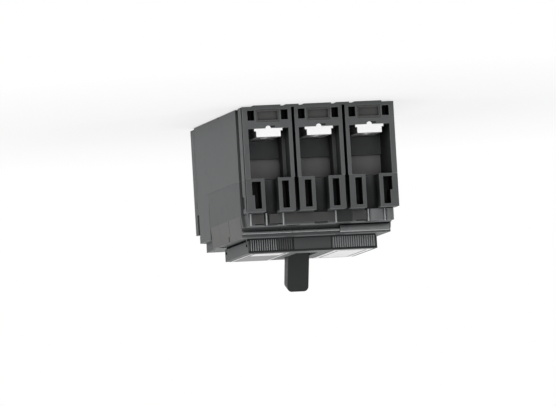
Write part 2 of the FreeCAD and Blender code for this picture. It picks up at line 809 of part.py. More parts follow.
def make_nut_carriers(label, end):
    """The moulded tongues that slide in under the shelves and hold the terminal nuts."""
    body = new_body(label)
    near, far = span(end, "0.2", "carrier_length - 0.2")
    top = "shelf_top - shelf_thickness - seam_gap"
    half = "carrier_width / 2"
    pad(body, "Z", "carrier_low + seam_gap", top,
        [rectangle(across(pole, "-" + half), across(pole, half), near, far) for pole in POLES])
    near, far = span(end, "-1", "1.4")
    cut_pole_boxes(body, half + " - 0.8", near, far, "carrier_low + 1", top + " - 1.1")
    centre = along(end, "bar_hole_inset")
    half = "nut_size / 2 + seam_gap"
    cut_pole_boxes(body, half, "(%s) - (%s)" % (centre, half), "(%s) + (%s)" % (centre, half),
                   "shelf_top - nut_thickness - 0.1", top + " + 1")
    return body


def make_terminal_nuts():
    """Six square nuts, one under each terminal bar."""
    body = new_body("terminal_nuts")
    loops = []
    circles = []
    for end in ENDS:
        for pole in POLES:
            centre = along(end, "bar_hole_inset")
            loops.append(rectangle(across(pole, "-nut_size / 2"), across(pole, "nut_size / 2"),
                                   "(%s) - nut_size / 2" % centre, "(%s) + nut_size / 2" % centre))
            circles.append((across(pole, "0"), centre, "nut_thread_radius"))
    pad(body, "Z", "shelf_top - nut_thickness", "shelf_top", loops)
    pocket(body, "Z", "shelf_top - nut_thickness - 1", "shelf_top + 1", circles=circles)
    return body


def make_arc_chute(label, pole):
    """A stack of steel splitter plates, notched for the arm, between two fibre walls."""
    body = new_body(label)
    low_y = along("line", "pocket_depth + web_wall + 0.8")
    half = "chute_width / 2"
    inner = "chute_width / 2 - fibre_wall"
    top = "chute_low + plate_pitch * (plate_count - 1) + plate_thickness + 0.4"
    for first, second in (("-(%s)" % half, "-(%s)" % inner), (inner, half)):
        slab(body, across(pole, first), across(pole, second), low_y, "chute_high_y",
             "shelf_top + seat_gap", top)
    notch = "arm_width / 2 + plate_notch"
    for index in range(int(size("plate_count"))):
        low = "chute_low + plate_pitch * %d" % index
        points = [("-(%s)" % inner, low_y), (inner, low_y), (inner, "chute_high_y - 1"),
                  (notch, "chute_high_y - 1"), ("arm_width / 4", "notch_end_y"),
                  ("-arm_width / 4", "notch_end_y"), ("-(%s)" % notch, "chute_high_y - 1"),
                  ("-(%s)" % inner, "chute_high_y - 1")]
        pad(body, "Z", low, low + " + plate_thickness",
            [[(across(pole, x), y) for x, y in points]])
    return body


def make_vent_baffles():
    """The fibre screens that close the pockets' back walls; the arc's gas leaves over them."""
    body = new_body("vent_baffles")
    near = along("line", "pocket_depth + web_wall - 0.8")
    half = POCKET_HALF + " - seam_gap"
    pad(body, "Z", "vent_low + seam_gap", "parting_height - vent_gap",
        [rectangle(across(pole, "-(%s)" % half), across(pole, half), near,
                   near + " + vent_thickness") for pole in POLES])
    return body


def place_on_axis(body, y, z, angle=None):
    """Moves a piece modelled about its own pivot to that pivot, turned about X."""
    body.Placement = FreeCAD.Placement(
        FreeCAD.Vector(0, size(y), size(z)),
        FreeCAD.Rotation(FreeCAD.Vector(1, 0, 0), size(angle) if angle else 0.001))
    body.setExpression("Placement.Base.y", bound(y))
    body.setExpression("Placement.Base.z", bound(z))
    if angle:
        body.setExpression("Placement.Rotation.Angle", bound(angle))
    else:
        body.Placement.Rotation = FreeCAD.Rotation()


ROTOR_TURN = "-open_angle"


def on_shaft(body):
    place_on_axis(body, "shaft_y", "shaft_z", ROTOR_TURN)


CRANK_REST = ("crank_reach * cos((crank_angle + open_angle) * 1 deg)",
              "crank_reach * sin((crank_angle + open_angle) * 1 deg)")


def make_contact_shaft():
    """The insulating cross shaft: a drum in each pole, slotted for its arm, and the crank."""
    body = new_body("contact_shaft")
    half = "pole_pitch + rotor_width / 2 + web_wall"
    pad(body, "X", "-(%s)" % half, half, circles=[("0", "0", "shaft_radius")])
    for pole in POLES:
        pad(body, "X", across(pole, "-rotor_width / 2"), across(pole, "rotor_width / 2"),
            circles=[("0", "0", "rotor_radius")])
    slot = "arm_slot_half"
    for pole in POLES:
        pocket(body, "X", across(pole, "-(%s)" % slot), across(pole, slot),
               [rectangle("-rotor_radius - 1", "rotor_radius + 1", "arm_low - 0.6",
                          "rotor_radius + 1")])
    pocket(body, "X", "-(%s) - 1" % half, "%s + 1" % half,
           circles=[("arm_pin_y", "arm_pin_z", "arm_pin_radius + seat_gap")])
    near = "lower_spread - frame_plate / 2 - slide_gap"
    relief = [CRANK_REST + ("pin_radius + link_relief",)]
    pocket(body, "X", near, "rotor_width / 2 + 0.1", circles=relief)
    pocket(body, "X", "-(rotor_width / 2 + 0.1)", "-(%s)" % near, circles=relief)
    return body


def make_crank():
    """Two steel ears clamped on the shaft beside its middle drum, each with a crank pin."""
    body = new_body("crank")
    pin_y, pin_z = CRANK_REST
    for side in (-1, 1):
        low = "(%d) * crank_spread - frame_plate / 2" % side
        high = low + " + frame_plate"
        pad(body, "X", low, high, [[
            ("-shaft_radius - 1.4", "-1"), ("shaft_radius + 1.4", "-1"),
            ("shaft_radius", "shaft_radius"), (pin_y + " + 2.4", pin_z + " + 1.4"),
            (pin_y + " - 2", pin_z + " + 2.2"), (pin_y + " - 2.6", pin_z + " - 1.6")]])
        pad(body, "X", low, high, circles=[("0", "0", "shaft_radius + 1.6")])
        pocket(body, "X", low + " - 0.1", high + " + 0.1",
               circles=[("0", "0", "shaft_radius + seat_gap")])
        inner = "(%d) * lower_spread - frame_plate / 2" % side
        outer = inner + " + frame_plate"
        if side > 0:
            pad(body, "X", inner, low + " + 0.1", circles=[(pin_y, pin_z, "pin_radius")])
        else:
            pad(body, "X", high + " - 0.1", outer, circles=[(pin_y, pin_z, "pin_radius")])
    return body


def make_moving_arm(label, pole):
    """The copper contact arm: a hub on the arm pin and a cranked blade to the tip."""
    body = new_body(label)
    tip = "tip_y - shaft_y"
    low = "arm_low"
    high = "arm_low + arm_height"
    pad(body, "X", across(pole, "-arm_width / 2"), across(pole, "arm_width / 2"), [[
        ("%s - tip_length / 2 - 0.8" % tip, low), ("arm_tail", low),
        ("arm_tail", "arm_low + arm_height * 0.7"), ("-rotor_radius", high),
        ("%s - tip_length / 2 + 1" % tip, high), ("%s - tip_length / 2 - 0.8" % tip, high + " - 1.8")
    ]])
    pocket(body, "X", across(pole, "-arm_width / 2 - 1"), across(pole, "arm_width / 2 + 1"),
           circles=[("arm_pin_y", "arm_pin_z", "arm_pin_radius + pin_gap")])
    return body


def make_moving_contacts():
    """The silver tips brazed under the arms' ends."""
    body = new_body("moving_contacts")
    tip = "tip_y - shaft_y"
    loops = [rectangle(across(pole, "-tip_width / 2"), across(pole, "tip_width / 2"),
                       tip + " - tip_length / 2", tip + " + tip_length / 2") for pole in POLES]
    pad(body, "Z", "arm_low - tip_thickness", "arm_low", loops)
    return body


def plate_pair(body, spread, points, circles=(), holes=()):
    """Two mirrored plates of the mechanism, one each side of its middle."""
    for side in (-1, 1):
        low = "(%d) * (%s) - frame_plate / 2" % (side, spread)
        high = low + " + frame_plate"
        pad(body, "X", low, high, [points])
        if circles:
            pad(body, "X", low, high, circles=circles)
        if holes:
            pocket(body, "X", low + " - 0.1", high + " + 0.1", circles=holes)


def make_side_frame(label, side):
    """One steel side plate of the mechanism, notched for the shaft, with its pivot studs."""
    body = new_body(label)
    low = "(%d) * frame_spacing / 2 - frame_plate / 2" % side
    high = low + " + frame_plate"
    foot = "foot_height + floor_wall + seat_gap"
    pad(body, "X", low, high, [[
        ("-7.5", foot), ("frame_high_y", foot), ("frame_high_y", "frame_top - 6"),
        ("frame_high_y - 4", "frame_top"), ("frame_low_y + 3", "frame_top"),
        ("frame_low_y", "frame_top - 4"), ("frame_low_y", "parting_height"), ("-7.5", "24")]])
    notch = "shaft_radius + slide_gap"
    pocket(body, "X", low + " - 1", high + " + 1",
           [rectangle("shaft_y - (%s)" % notch, "shaft_y + %s" % notch, "0", "shaft_z")])
    pocket(body, "X", low + " - 1", high + " + 1", circles=[("shaft_y", "shaft_z", notch)])
    hole = "pin_radius + pin_gap"
    pocket(body, "X", low + " - 1", high + " + 1",
           circles=[("cradle_y", "cradle_z", hole), ("latch_y", "latch_z", hole)])
    outer = high if side > 0 else low
    start, end = (outer, outer + " + 1.4") if side > 0 else (outer + " - 1.4", outer)
    pad(body, "X", start, end, circles=[("toggle_y", "toggle_z", "stud_radius")])
    return body


YOKE_SPREAD = "frame_spacing / 2 + frame_plate + slide_gap / 2"
TOGGLE_TURN = "-toggle_tilt"


def on_toggle(body):
    place_on_axis(body, "toggle_y", "toggle_z", TOGGLE_TURN)


def make_handle_yoke():
    """The bent steel yoke: two legs on the frame studs, a cross bar and the toggle's tab."""
    body = new_body("handle_yoke")
    plate_pair(body, YOKE_SPREAD, [("-3.2", "0"), ("3.2", "0"), ("4.5", "yoke_top"),
                                   ("-4.5", "yoke_top")],
               circles=[("0", "0", "3.4")], holes=[("0", "0", "stud_radius + pin_gap")])
    outer = "(%s) + frame_plate / 2" % YOKE_SPREAD
    slab(body, "-(%s)" % outer, outer, "-4.5", "4.5", "yoke_top - frame_plate", "yoke_top")
    slab(body, "-yoke_tab / 2", "yoke_tab / 2", "-frame_plate / 2", "frame_plate / 2",
         "yoke_top - 0.1", "shield_radius + 12")
    return body


def make_toggle_handle():
    """The toggle: a tapered lever with rounded tip corners on a curved dust shield."""
    body = new_body("toggle_handle")
    half = "toggle_width / 2"
    tip = "(toggle_tip - toggle_z) / cos(toggle_tilt * 1 deg) - 1.6"
    pad(body, "X", "-(%s)" % half, half, [[
        ("-toggle_thickness / 2 - 0.5", "shield_radius"), ("toggle_thickness / 2 + 0.5",
                                                          "shield_radius"),
        ("toggle_thickness / 2", tip), ("-toggle_thickness / 2", tip)]])
    shield = "toggle_width / 2 + 1.4"
    ring = pad(body, "X", "-(%s)" % shield, shield,
               circles=[("0", "0", "shield_radius + shield_wall")])
    pocket(body, "X", "-(%s) - 1" % shield, shield + " + 1", circles=[("0", "0", "shield_radius")])
    trim_shield(body, shield)
    tab = "yoke_tab / 2 + seam_gap"
    cut_box(body, "-(%s)" % tab, tab, "-frame_plate / 2 - seam_gap", "frame_plate / 2 + seam_gap",
            "shield_radius - 1", "shield_radius + 12.3")
    round_tip(body, tip)
    return body


def trim_shield(body, shield):
    """Leaves only the shield's upper arc, between its two radial edges."""
    reach = "shield_radius * 2"
    spread = "shield_angle * 1 deg"
    pocket(body, "X", "-(%s) - 1" % shield, shield + " + 1", [[
        ("0", "0"), ("%s * sin(%s)" % (reach, spread), "%s * cos(%s)" % (reach, spread)),
        ("%s" % reach, "-(%s)" % reach), ("-(%s)" % reach, "-(%s)" % reach),
        ("-(%s) * sin(%s)" % (reach, spread), "%s * cos(%s)" % (reach, spread))]])


def round_tip(body, tip):
    """Rounds the toggle's two tip corners, seen from the line end, and softens its rim."""
    doc.recompute()
    height = size(tip)
    corners = ["Edge%d" % index for index, edge in enumerate(body.Shape.Edges, start=1)
               if is_level(edge, height) and abs(edge.BoundBox.XLength) < 0.01]
    add_fillet(body, corners, "toggle_corner")


def is_level(edge, height):
    return abs(edge.BoundBox.ZMin - height) < 0.01 and abs(edge.BoundBox.ZMax - height) < 0.01


def add_fillet(body, edges, radius):
    solid = body.Tip
    fillet = body.newObject("PartDesign::Fillet", body.Name + "_fillet")
    fillet.Base = (solid, edges)
    fillet.setExpression("Radius", bound(radius))
    return fillet


def make_cradle():
    """The latched lever: two plates from its pivot to a nose held under the latch."""
    body = new_body("cradle")
    low = "link_pin_z - cradle_z - 2.6"
    plate_pair(body, "lower_spread", [
        ("-2.4", "-2.4"), ("link_pin_y - cradle_y", low), ("nose_tip_y - cradle_y",
                                                           "latch_hook_z - 2.8 - cradle_z"),
        ("nose_tip_y - cradle_y", "latch_hook_z - slide_gap - cradle_z"),
        ("link_pin_y - cradle_y + 3", "link_pin_z - cradle_z + 2.6"), ("-2.4", "2.4")],
        holes=[("0", "0", "pin_radius + pin_gap")])
    half = "lower_spread + frame_plate / 2"
    slab(body, "-(%s)" % half, half, "nose_tip_y - cradle_y - 2.4", "nose_tip_y - cradle_y",
         "latch_hook_z - 2.8 - cradle_z", "latch_hook_z - slide_gap - cradle_z")
    pin = ("link_pin_y - cradle_y", "link_pin_z - cradle_z", "pin_radius")
    near = "upper_spread - frame_plate / 2 - 0.6"
    far = "upper_spread + frame_plate / 2 + 1"
    pad(body, "X", near, far, circles=[pin])
    pad(body, "X", "-(%s)" % far, "-(%s)" % near, circles=[pin])
    return body


def link_turn(from_y, from_z, to_y, to_z):
    """The angle about X of a link laid from one pin to another."""
    return "atan2((%s) - (%s); (%s) - (%s))" % (to_z, from_z, to_y, from_y)


def make_links(label, spread, start, finish, open_end):
    """A pair of links between two pins; an open end is a fork over its pin."""
    body = new_body(label)
    length = "sqrt(((%s) - (%s)) ^ 2 + ((%s) - (%s)) ^ 2)" % (
        finish[0], start[0], finish[1], start[1])
    hole = "pin_radius + pin_gap"
    eye = "pin_radius + link_rim"
    for side in (-1, 1):
        low = "(%d) * (%s) - frame_plate / 2" % (side, spread)
        high = low + " + frame_plate"
        pad(body, "X", low, high, [rectangle("0", length, "-link_waist", "link_waist")])
        pad(body, "X", low, high, circles=[("0", "0", eye), (length, "0", eye)])
        pocket(body, "X", low + " - 0.1", high + " + 0.1", circles=[("0", "0", hole)])
        if open_end:
            play = "pin_radius + link_play"
            pocket(body, "X", low + " - 0.1", high + " + 0.1",
                   [rectangle("%s - 0.01" % length, "%s + 9" % length, "-(%s)" % play, play)])
            pocket(body, "X", low + " - 0.1", high + " + 0.1", circles=[(length, "0", play)])
    if not open_end:
        half = "(%s) + frame_plate / 2" % spread
        pad(body, "X", "-(%s)" % half, half, circles=[(length, "0", "pin_radius")])
    place_on_axis(body, start[0], start[1], link_turn(start[0], start[1], finish[0], finish[1]))
    return body


CRANK_PIN = ("shaft_y + crank_reach * cos(crank_angle * 1 deg)",
             "shaft_z + crank_reach * sin(crank_angle * 1 deg)")
KNEE = ("knee_y", "knee_z")
LINK_PIN = ("link_pin_y", "link_pin_z")


def make_latch():
    """The latch plate: a hook over the cradle's nose, which the reset pushes a little below it."""
    body = new_body("latch_plate")
    half = "latch_width / 2"
    hook = "latch_hook_z + reset_travel - latch_z"
    grip = "nose_tip_y - latch_grip - latch_y"
    pad(body, "X", "-(%s)" % half, half, [[
        ("-1.6", "-1.6"), ("1.6", "-1.6"), ("1.6", hook + " + 1.4"), (grip, hook + " + 1.4"),
        (grip, hook), ("0.4", hook), ("0.4", "2.4"), ("-1.6", "1.6")]])
    pad(body, "X", "-(%s)" % half, half, circles=[("0", "0", "latch_boss")])
    pocket(body, "X", "-(%s) - 1" % half, "%s + 1" % half,
           circles=[("0", "0", "pin_radius + pin_gap")])
    return body


def make_mechanism_pins():
    """The two pins across the frames: the latch's and the cradle's."""
    body = new_body("mechanism_pins")
    half = "frame_spacing / 2 + frame_plate / 2"
    pad(body, "X", "-(%s)" % half, half, circles=[("latch_y", "latch_z", "pin_radius")])
    pad(body, "X", "-(%s)" % half, half, circles=[("cradle_y", "cradle_z", "pin_radius")])
    return body


def make_main_springs():
    """The two over-centre springs between the knee pin and the yoke's cross bar."""
    return make_spring_pair("main_springs", KNEE,
                            ("toggle_y + yoke_top * sin(toggle_tilt * 1 deg)",
                             "toggle_z + yoke_top * cos(toggle_tilt * 1 deg)"))


def coil(radius, wire, length, turns):
    """A helical spring on the origin along Z, in straight runs that keep outside the radius."""
    runs = 6 * turns
    corner = radius / math.cos(math.pi / 6)
    points = []
    for index in range(runs + 1):
        angle = index * math.pi / 3
        points.append(FreeCAD.Vector(corner * math.cos(angle), corner * math.sin(angle),
                                     length * index / runs))
    section = []
    for index in range(5):
        angle = (index + 0.5) * math.pi / 2
        section.append(FreeCAD.Vector(corner + wire * math.cos(angle), 0,
                                      wire * math.sin(angle)))
    return Part.makePolygon(points).makePipeShell([Part.makePolygon(section)], True, False, 1)


def make_spring_pair(label, start, finish):
    low = FreeCAD.Vector(0, size(start[0]), size(start[1]))
    high = FreeCAD.Vector(0, size(finish[0]), size(finish[1]))
    direction = (high - low).normalize()
    margin = size("pin_radius + spring_wire + slide_gap")
    length = (high - low).Length - 2 * margin
    spring = coil(size("spring_radius"), size("spring_wire"), length, int(size("spring_turns")))
    turn = FreeCAD.Rotation(FreeCAD.Vector(0, 0, 1), direction)
    shapes = []
    for side in (-1, 1):
        copy = spring.copy()
        base = low + direction * margin + FreeCAD.Vector(side * size("spring_spread"), 0, 0)
        copy.Placement = FreeCAD.Placement(base, turn)
        shapes.append(copy)
    feature = doc.addObject("Part::Feature", label)
    feature.Label = label
    feature.Shape = Part.makeCompound(shapes)
    return feature


def make_arm_pins():
    """Three steel pins, each carrying an arm in its drum."""
    body = new_body("arm_pins")
    for pole in POLES:
        pad(body, "X", across(pole, "-rotor_width / 2 + 0.2"), across(pole, "rotor_width / 2 - 0.2"),
            circles=[("arm_pin_y", "arm_pin_z", "arm_pin_radius")])
    return body


def make_contact_springs():
    """The torsion coils beside each arm, round its pin, that press the contacts together."""
    turns = int(size("contact_turns"))
    wire = size("contact_wire")
    length = turns * wire * 2.2
    ring = coil(size("arm_pin_radius + contact_wire + seam_gap"), wire, length, turns)
    gap = size("arm_width / 2 + contact_wire + seam_gap")
    sideways = FreeCAD.Rotation(FreeCAD.Vector(0, 1, 0), 90)
    turned = FreeCAD.Placement(FreeCAD.Vector(0, size("shaft_y"), size("shaft_z")),
                               FreeCAD.Rotation(FreeCAD.Vector(1, 0, 0), size(ROTOR_TURN)))
    shapes = []
    for pole in POLES:
        for start in (gap, -gap - length):
            base = FreeCAD.Vector(size(across(pole, start)), size("arm_pin_y"), size("arm_pin_z"))
            copy = ring.copy()
            copy.Placement = turned.multiply(FreeCAD.Placement(base, sideways))
            shapes.append(copy)
    feature = doc.addObject("Part::Feature", "contact_springs")
    feature.Label = "contact_springs"
    feature.Shape = Part.makeCompound(shapes)
    return feature


def make_braid(label, pole):
    """The flexible copper braid that sags from an arm's tail to the load bar."""
    half = size("braid_thickness") / 2
    points = [(size("braid_start_y"), size("braid_start_z")),
              (size("(braid_start_y + bimetal_y) / 2"), size("shelf_top - braid_sag")),
              (size("bimetal_y - 3 - seam_gap") - half, size("shelf_top + bar_thickness / 2"))]
    low, middle, high = [FreeCAD.Vector(size(across(pole, "-braid_width / 2")), y, z)
                         for y, z in points]
    centre = Part.Arc(low, middle, high).toShape().Curve.Center
    rims = []
    for grow in (-half, half):
        rims.append([point + (point - centre).normalize() * grow for point in (low, middle, high)])
    inner, outer = rims
    wire = Part.Wire([Part.Arc(*inner).toShape(), Part.LineSegment(inner[2], outer[2]).toShape(),
                      Part.Arc(*outer[::-1]).toShape(),
                      Part.LineSegment(outer[0], inner[0]).toShape()])
    feature = doc.addObject("Part::Feature", label)
    feature.Label = label
    feature.Shape = Part.Face(wire).extrude(FreeCAD.Vector(size("braid_width"), 0, 0))
    return feature


def make_bimetal(label, pole):
    """The upright bimetal strip on the load bar, with its adjusting screw near the top."""
    body = new_body(label)
    low = "shelf_top + bar_thickness + 2 * seat_gap"
    half = "bimetal_width / 2"
    thick = "bimetal_y + bimetal_thickness / 2"
    slab(body, across(pole, "-(%s)" % half), across(pole, half), "bimetal_y - bimetal_thickness / 2",
         thick, low, "parting_height - 1")
    slab(body, across(pole, "-(%s)" % half), across(pole, half), thick + " - 0.1", thick + " + 2.4",
         low, low + " + bimetal_thickness")
    pad(body, "Y", "bimetal_y - bimetal_thickness / 2 - 0.5", "bimetal_y + 1.8",
        circles=[(across(pole, "0"), "parting_height - 2.6", "0.9")])
    return body


YOKE_LEG = "magnet_width / 2 - magnet_plate"


def make_magnet_yoke(label, pole):
    """The U of steel round the bimetal, whose ears carry the armature."""
    body = new_body(label)
    low = "shelf_top + bar_thickness + 2 * seat_gap"
    outer = "magnet_width / 2"
    slab(body, across(pole, "-(%s)" % outer), across(pole, outer), "magnet_y",
         "magnet_y + magnet_plate", "magnet_low", "magnet_high")
    for first, second in (("-(%s)" % outer, "-(%s)" % YOKE_LEG), (YOKE_LEG, outer)):
        pad(body, "X", across(pole, first), across(pole, second), [[
            ("magnet_y", low), ("armature_y + 1.2", low), ("armature_y + 1.2", "armature_z + 1.4"),
            ("magnet_y + magnet_reach", "armature_z + 2.2"), ("magnet_y + magnet_reach",
                                                              "magnet_high"),
            ("magnet_y", "magnet_high")]])
        pocket(body, "X", across(pole, first + " - 0.1"), across(pole, second + " + 0.1"),
               circles=[("armature_y", "armature_z", "armature_pin + pin_gap")])
    return body


def make_armature(label, pole):
    """The armature plate on its pin, with two fingers towards the trip bar's paddle."""
    body = new_body(label)
    inner = "%s - slide_gap" % YOKE_LEG
    outer = "magnet_width / 2"
    half = "armature_thickness / 2"
    slab(body, across(pole, "-(%s)" % inner), across(pole, inner), "armature_y - %s" % half,
         "armature_y + %s" % half, "armature_z", "armature_top")
    slab(body, across(pole, "-(%s)" % outer), across(pole, outer), "armature_y - %s" % half,
         "armature_y + %s" % half, "armature_z + 3", "armature_top")
    for first, second in (("-(%s)" % outer, "-(bimetal_width / 2 + 0.5)"),
                          ("bimetal_width / 2 + 0.5", outer)):
        slab(body, across(pole, first), across(pole, second), "bimetal_y + 0.4",
             "armature_y", "armature_top - 1.2", "armature_top")
    pad(body, "X", across(pole, "-(%s)" % inner), across(pole, inner),
        circles=[("armature_y", "armature_z", "armature_pin + 0.4")])
    pad(body, "X", across(pole, "-(%s)" % outer), across(pole, outer),
        circles=[("armature_y", "armature_z", "armature_pin")])
    return body


def make_trip_bar():
    """The bar across the poles with a paddle before each bimetal and the button's finger."""
    body = new_body("trip_bar")
    pad(body, "X", "-trip_bar_half", "trip_bar_half", circles=[("0", "0", "trip_bar_radius")])
    paddle = "bimetal_y - bimetal_thickness / 2 - 1 - trip_bar_y"
    for pole in POLES:
        pad(body, "X", across(pole, "-magnet_width / 2 + 0.3"), across(pole, "magnet_width / 2 - 0.3"),
            [[("-1", "1.8"), (paddle + " - 0.8", "1.4"), (paddle, "1.4"), (paddle, "3.8"),
              (paddle + " - 1", "3.8"), (paddle + " - 1.2", "2.6"), ("-1", "3.0")]])
    reach = "button_y - trip_bar_y"
    top = "rod_foot - slide_gap - trip_bar_z"
    pad(body, "X", "button_x - 1.2", "button_x + 1.2", [[
        ("-1.5", "-1.5"), (reach + " - 1.1", top + " - 1.3"), (reach + " - 1.1", top),
        (reach + " + 1.1", top), ("-0.5", "2.2")]])
    place_on_axis(body, "trip_bar_y", "trip_bar_z")
    return body


def make_trip_button():
    """The push-to-trip button: a cap flush with the nose on a long rod to the trip bar."""
    body = new_body("trip_button")
    spots = [("button_x", "button_y")]
    pad(body, "Z", "rod_foot", "nose_top", circles=[spots[0] + ("rod_radius",)])
    pad(body, "Z", "cap_low", "nose_top", circles=[spots[0] + ("button_radius",)])
    pad(body, "Z", "deck_top - 0.8", "deck_top", circles=[spots[0] + ("rod_radius + 0.45",)])
    return body


def make_button_spring():
    """The small return spring under the button's cap."""
    low = size("seat_shelf + spring_wire + seat_gap")
    high = size("cap_low - spring_wire - seat_gap")
    spring = coil(size("rod_radius + pin_gap + button_wire"), size("button_wire"), high - low,
                  int(size("button_turns")))
    spring.translate(FreeCAD.Vector(size("button_x"), size("button_y"), low))
    feature = doc.addObject("Part::Feature", "button_spring")
    feature.Label = "button_spring"
    feature.Shape = spring
    return feature


SCREW_SPOTS = [("pole_pitch / 2", "-screw_line_y"), ("-pole_pitch / 2", "-screw_line_y"),
               ("screw_side_x", "screw_side_y"), ("-screw_side_x", "screw_side_y"),
               ("pole_pitch / 2", "screw_line_y"), ("-pole_pitch / 2", "screw_line_y")]


def screw_circles(spots, radius):
    return [(x, y, radius) for x, y in spots]


def make_cover_screws():
    """Six cross-slotted screws that hold both covers to the base."""
    body = new_body("cover_screws")
    pad(body, "Z", "screw_foot", "screw_seat", circles=screw_circles(SCREW_SPOTS, "screw_radius"))
    pad(body, "Z", "screw_seat", "screw_seat + screw_head",
        circles=screw_circles(SCREW_SPOTS, "screw_head_radius"))
    for wide, deep in (("screw_slot / 2", "screw_head_radius * 0.6"),
                       ("screw_head_radius * 0.6", "screw_slot / 2")):
        loops = [rectangle("(%s) - %s" % (x, wide), "(%s) + %s" % (x, wide),
                           "(%s) - %s" % (y, deep), "(%s) + %s" % (y, deep))
                 for x, y in SCREW_SPOTS]
        pocket(body, "Z", "screw_seat + screw_head * 0.4", "screw_seat + screw_head + 1", loops)
    return body


def bore_screws(body, spots):
    """The clearance holes and counterbores of the cover screws in a cover."""
    pocket(body, "Z", "parting_height - 1", "deck_top + 1",
           circles=screw_circles(spots, "screw_radius + seam_gap"))
    pocket(body, "Z", "screw_seat - seat_gap", "deck_top + 1",
           circles=screw_circles(spots, "screw_head_radius + seam_gap"))


def add_screw_bosses(body):
    """The base's columns that the cover screws bite into."""
    pad(body, "Z", "floor_wall", "parting_height",
        squares(screw_circles(SCREW_SPOTS, "screw_boss")))
    pocket(body, "Z", "screw_foot - 1", "parting_height + 1",
           circles=screw_circles(SCREW_SPOTS, "screw_radius + seat_gap"))


HINGE_Z = "deck_top + hinge_rise"
HINGE_X = "nose_width / 2 - hinge_inset"


def hinge_spans():
    """The two short stretches along the lid where its hinge ears stand."""
    low = "nose_low_y + nose_wall"
    high = "nose_high_y - nose_wall"
    return [(low, low + " + hinge_notch"), (high + " - hinge_notch", high)]


def hinge_points(side, points):
    return [("(%d) * (%s)" % (side, x), z) for x, z in points]


def add_hinge_ears(body):
    """The ears on the deck that carry the lids' pins."""
    for side in (-1, 1):
        for low, high in hinge_spans():
            start = low + " + slide_gap"
            end = high + " - slide_gap"
            pad(body, "Y", start, end, [hinge_points(side, [
                (HINGE_X + " - hinge_ear", "deck_top - 0.1"), (HINGE_X + " + hinge_ear",
                                                               "deck_top - 0.1"),
                (HINGE_X + " + hinge_ear", HINGE_Z), (HINGE_X + " - hinge_ear", HINGE_Z)])])
            pad(body, "Y", start, end,
                circles=[("(%d) * (%s)" % (side, HINGE_X), HINGE_Z, "hinge_ear")])
            pocket(body, "Y", start + " - 0.1", end + " + 0.1",
                   circles=[("(%d) * (%s)" % (side, HINGE_X), HINGE_Z, "hinge_pin + pin_gap")])


def add_hinge_pins(body, side):
    """Notches the lid's outer wall round the ears, then puts its moulded pins across them."""
    edge = "nose_width / 2"
    for low, high in hinge_spans():
        pocket(body, "Y", low, high, [hinge_points(side, [
            (edge + " - nose_wall - 1.4", "deck_top - 1"), (edge + " + 1", "deck_top - 1"),
            (edge + " + 1", HINGE_Z + " + hinge_ear + 1.1"),
            (edge + " - nose_wall - 1.4", HINGE_Z + " + hinge_ear + 1.1")])])
        pad(body, "Y", low + " - 0.1", high + " + 0.1",
            circles=[("(%d) * (%s)" % (side, HINGE_X), HINGE_Z, "hinge_pin")])
    pocket(body, "Y", "nose_low_y - 1", "nose_high_y + 1", [hinge_points(side, [
        (edge + " - hinge_inset", "deck_top"), (edge + " + 1", "deck_top"),
        (edge + " + 1", "deck_top + seam_gap + hinge_inset"),
        (edge, "deck_top + seam_gap + hinge_inset"),
        (edge + " - hinge_inset", "deck_top + seam_gap")])])


def check_and_write(nodes):
    doc.recompute()
    for item in doc.Objects:
        bad = [word for word in item.State if word in ("Invalid", "Error")]
        if bad:
            raise RuntimeError("%s is %s" % (item.Name, bad))
    os.makedirs("parts", exist_ok=True)
    for node in nodes:
        shape = node.Shape
        if shape.isNull() or not shape.isValid():
            raise RuntimeError("%s has no valid shape" % node.Label)
        shape.exportStep("parts/%s.step" % node.Label)
        box = shape.BoundBox
        print("%-22s %2d solids %9.1f mm3  x %.1f %.1f  y %.1f %.1f  z %.1f %.1f" % (
            node.Label, len(shape.Solids), shape.Volume, box.XMin, box.XMax,
            box.YMin, box.YMax, box.ZMin, box.ZMax))


def make_switching_parts():
    """The cross shaft with its arms, all turned to the open position."""
    pieces = [make_contact_shaft(), make_crank(), make_arm_pins(), make_moving_contacts()]
    for number, pole in enumerate(POLES, start=1):
        pieces.append(make_moving_arm("moving_arm_%d" % number, pole))
    for piece in pieces:
        on_shaft(piece)
    return pieces + [make_contact_springs()]


def make_pole_parts():
    """What each pole holds by itself, numbered from the -X side."""
    pieces = [make_fixed_contacts(), make_vent_baffles(),
              make_nut_carriers("line_nut_carriers", "line"),
              make_nut_carriers("load_nut_carriers", "load")]
    for number, pole in enumerate(POLES, start=1):
        pieces += [
            make_terminal("line_terminal_%d" % number, "line", pole),
            make_terminal("load_terminal_%d" % number, "load", pole),
            make_arc_chute("arc_chute_%d" % number, pole),
            make_braid("braid_%d" % number, pole),
            make_bimetal("bimetal_%d" % number, pole),
            make_magnet_yoke("magnet_yoke_%d" % number, pole),
            make_armature("armature_%d" % number, pole),
        ]
    return pieces


def make_mechanism():
    """The over-centre mechanism between its two side frames."""
    yoke = make_handle_yoke()
    handle = make_toggle_handle()
    for piece in (yoke, handle):
        on_toggle(piece)
    cradle = make_cradle()
    place_on_axis(cradle, "cradle_y", "cradle_z")
    latch = make_latch()
    place_on_axis(latch, "latch_y", "latch_z")
    return [yoke, handle, cradle, latch, make_side_frame("side_frame_right", -1),
            make_side_frame("side_frame_left", 1),
            make_links("lower_links", "lower_spread", CRANK_PIN, KNEE, False),
            make_links("upper_links", "upper_spread", LINK_PIN, KNEE, True),
            make_mechanism_pins(), make_main_springs()]


def make_housing():
    """The moulded case and what is fixed to its outside."""
    return [make_base_case(), make_main_cover(), make_load_cover(), make_toggle_escutcheon(),
            make_lid("right_lid", -1), make_lid("left_lid", 1), make_label("right_label", -1),
            make_label("left_label", 1), make_terminal_nuts(), make_cover_screws()]


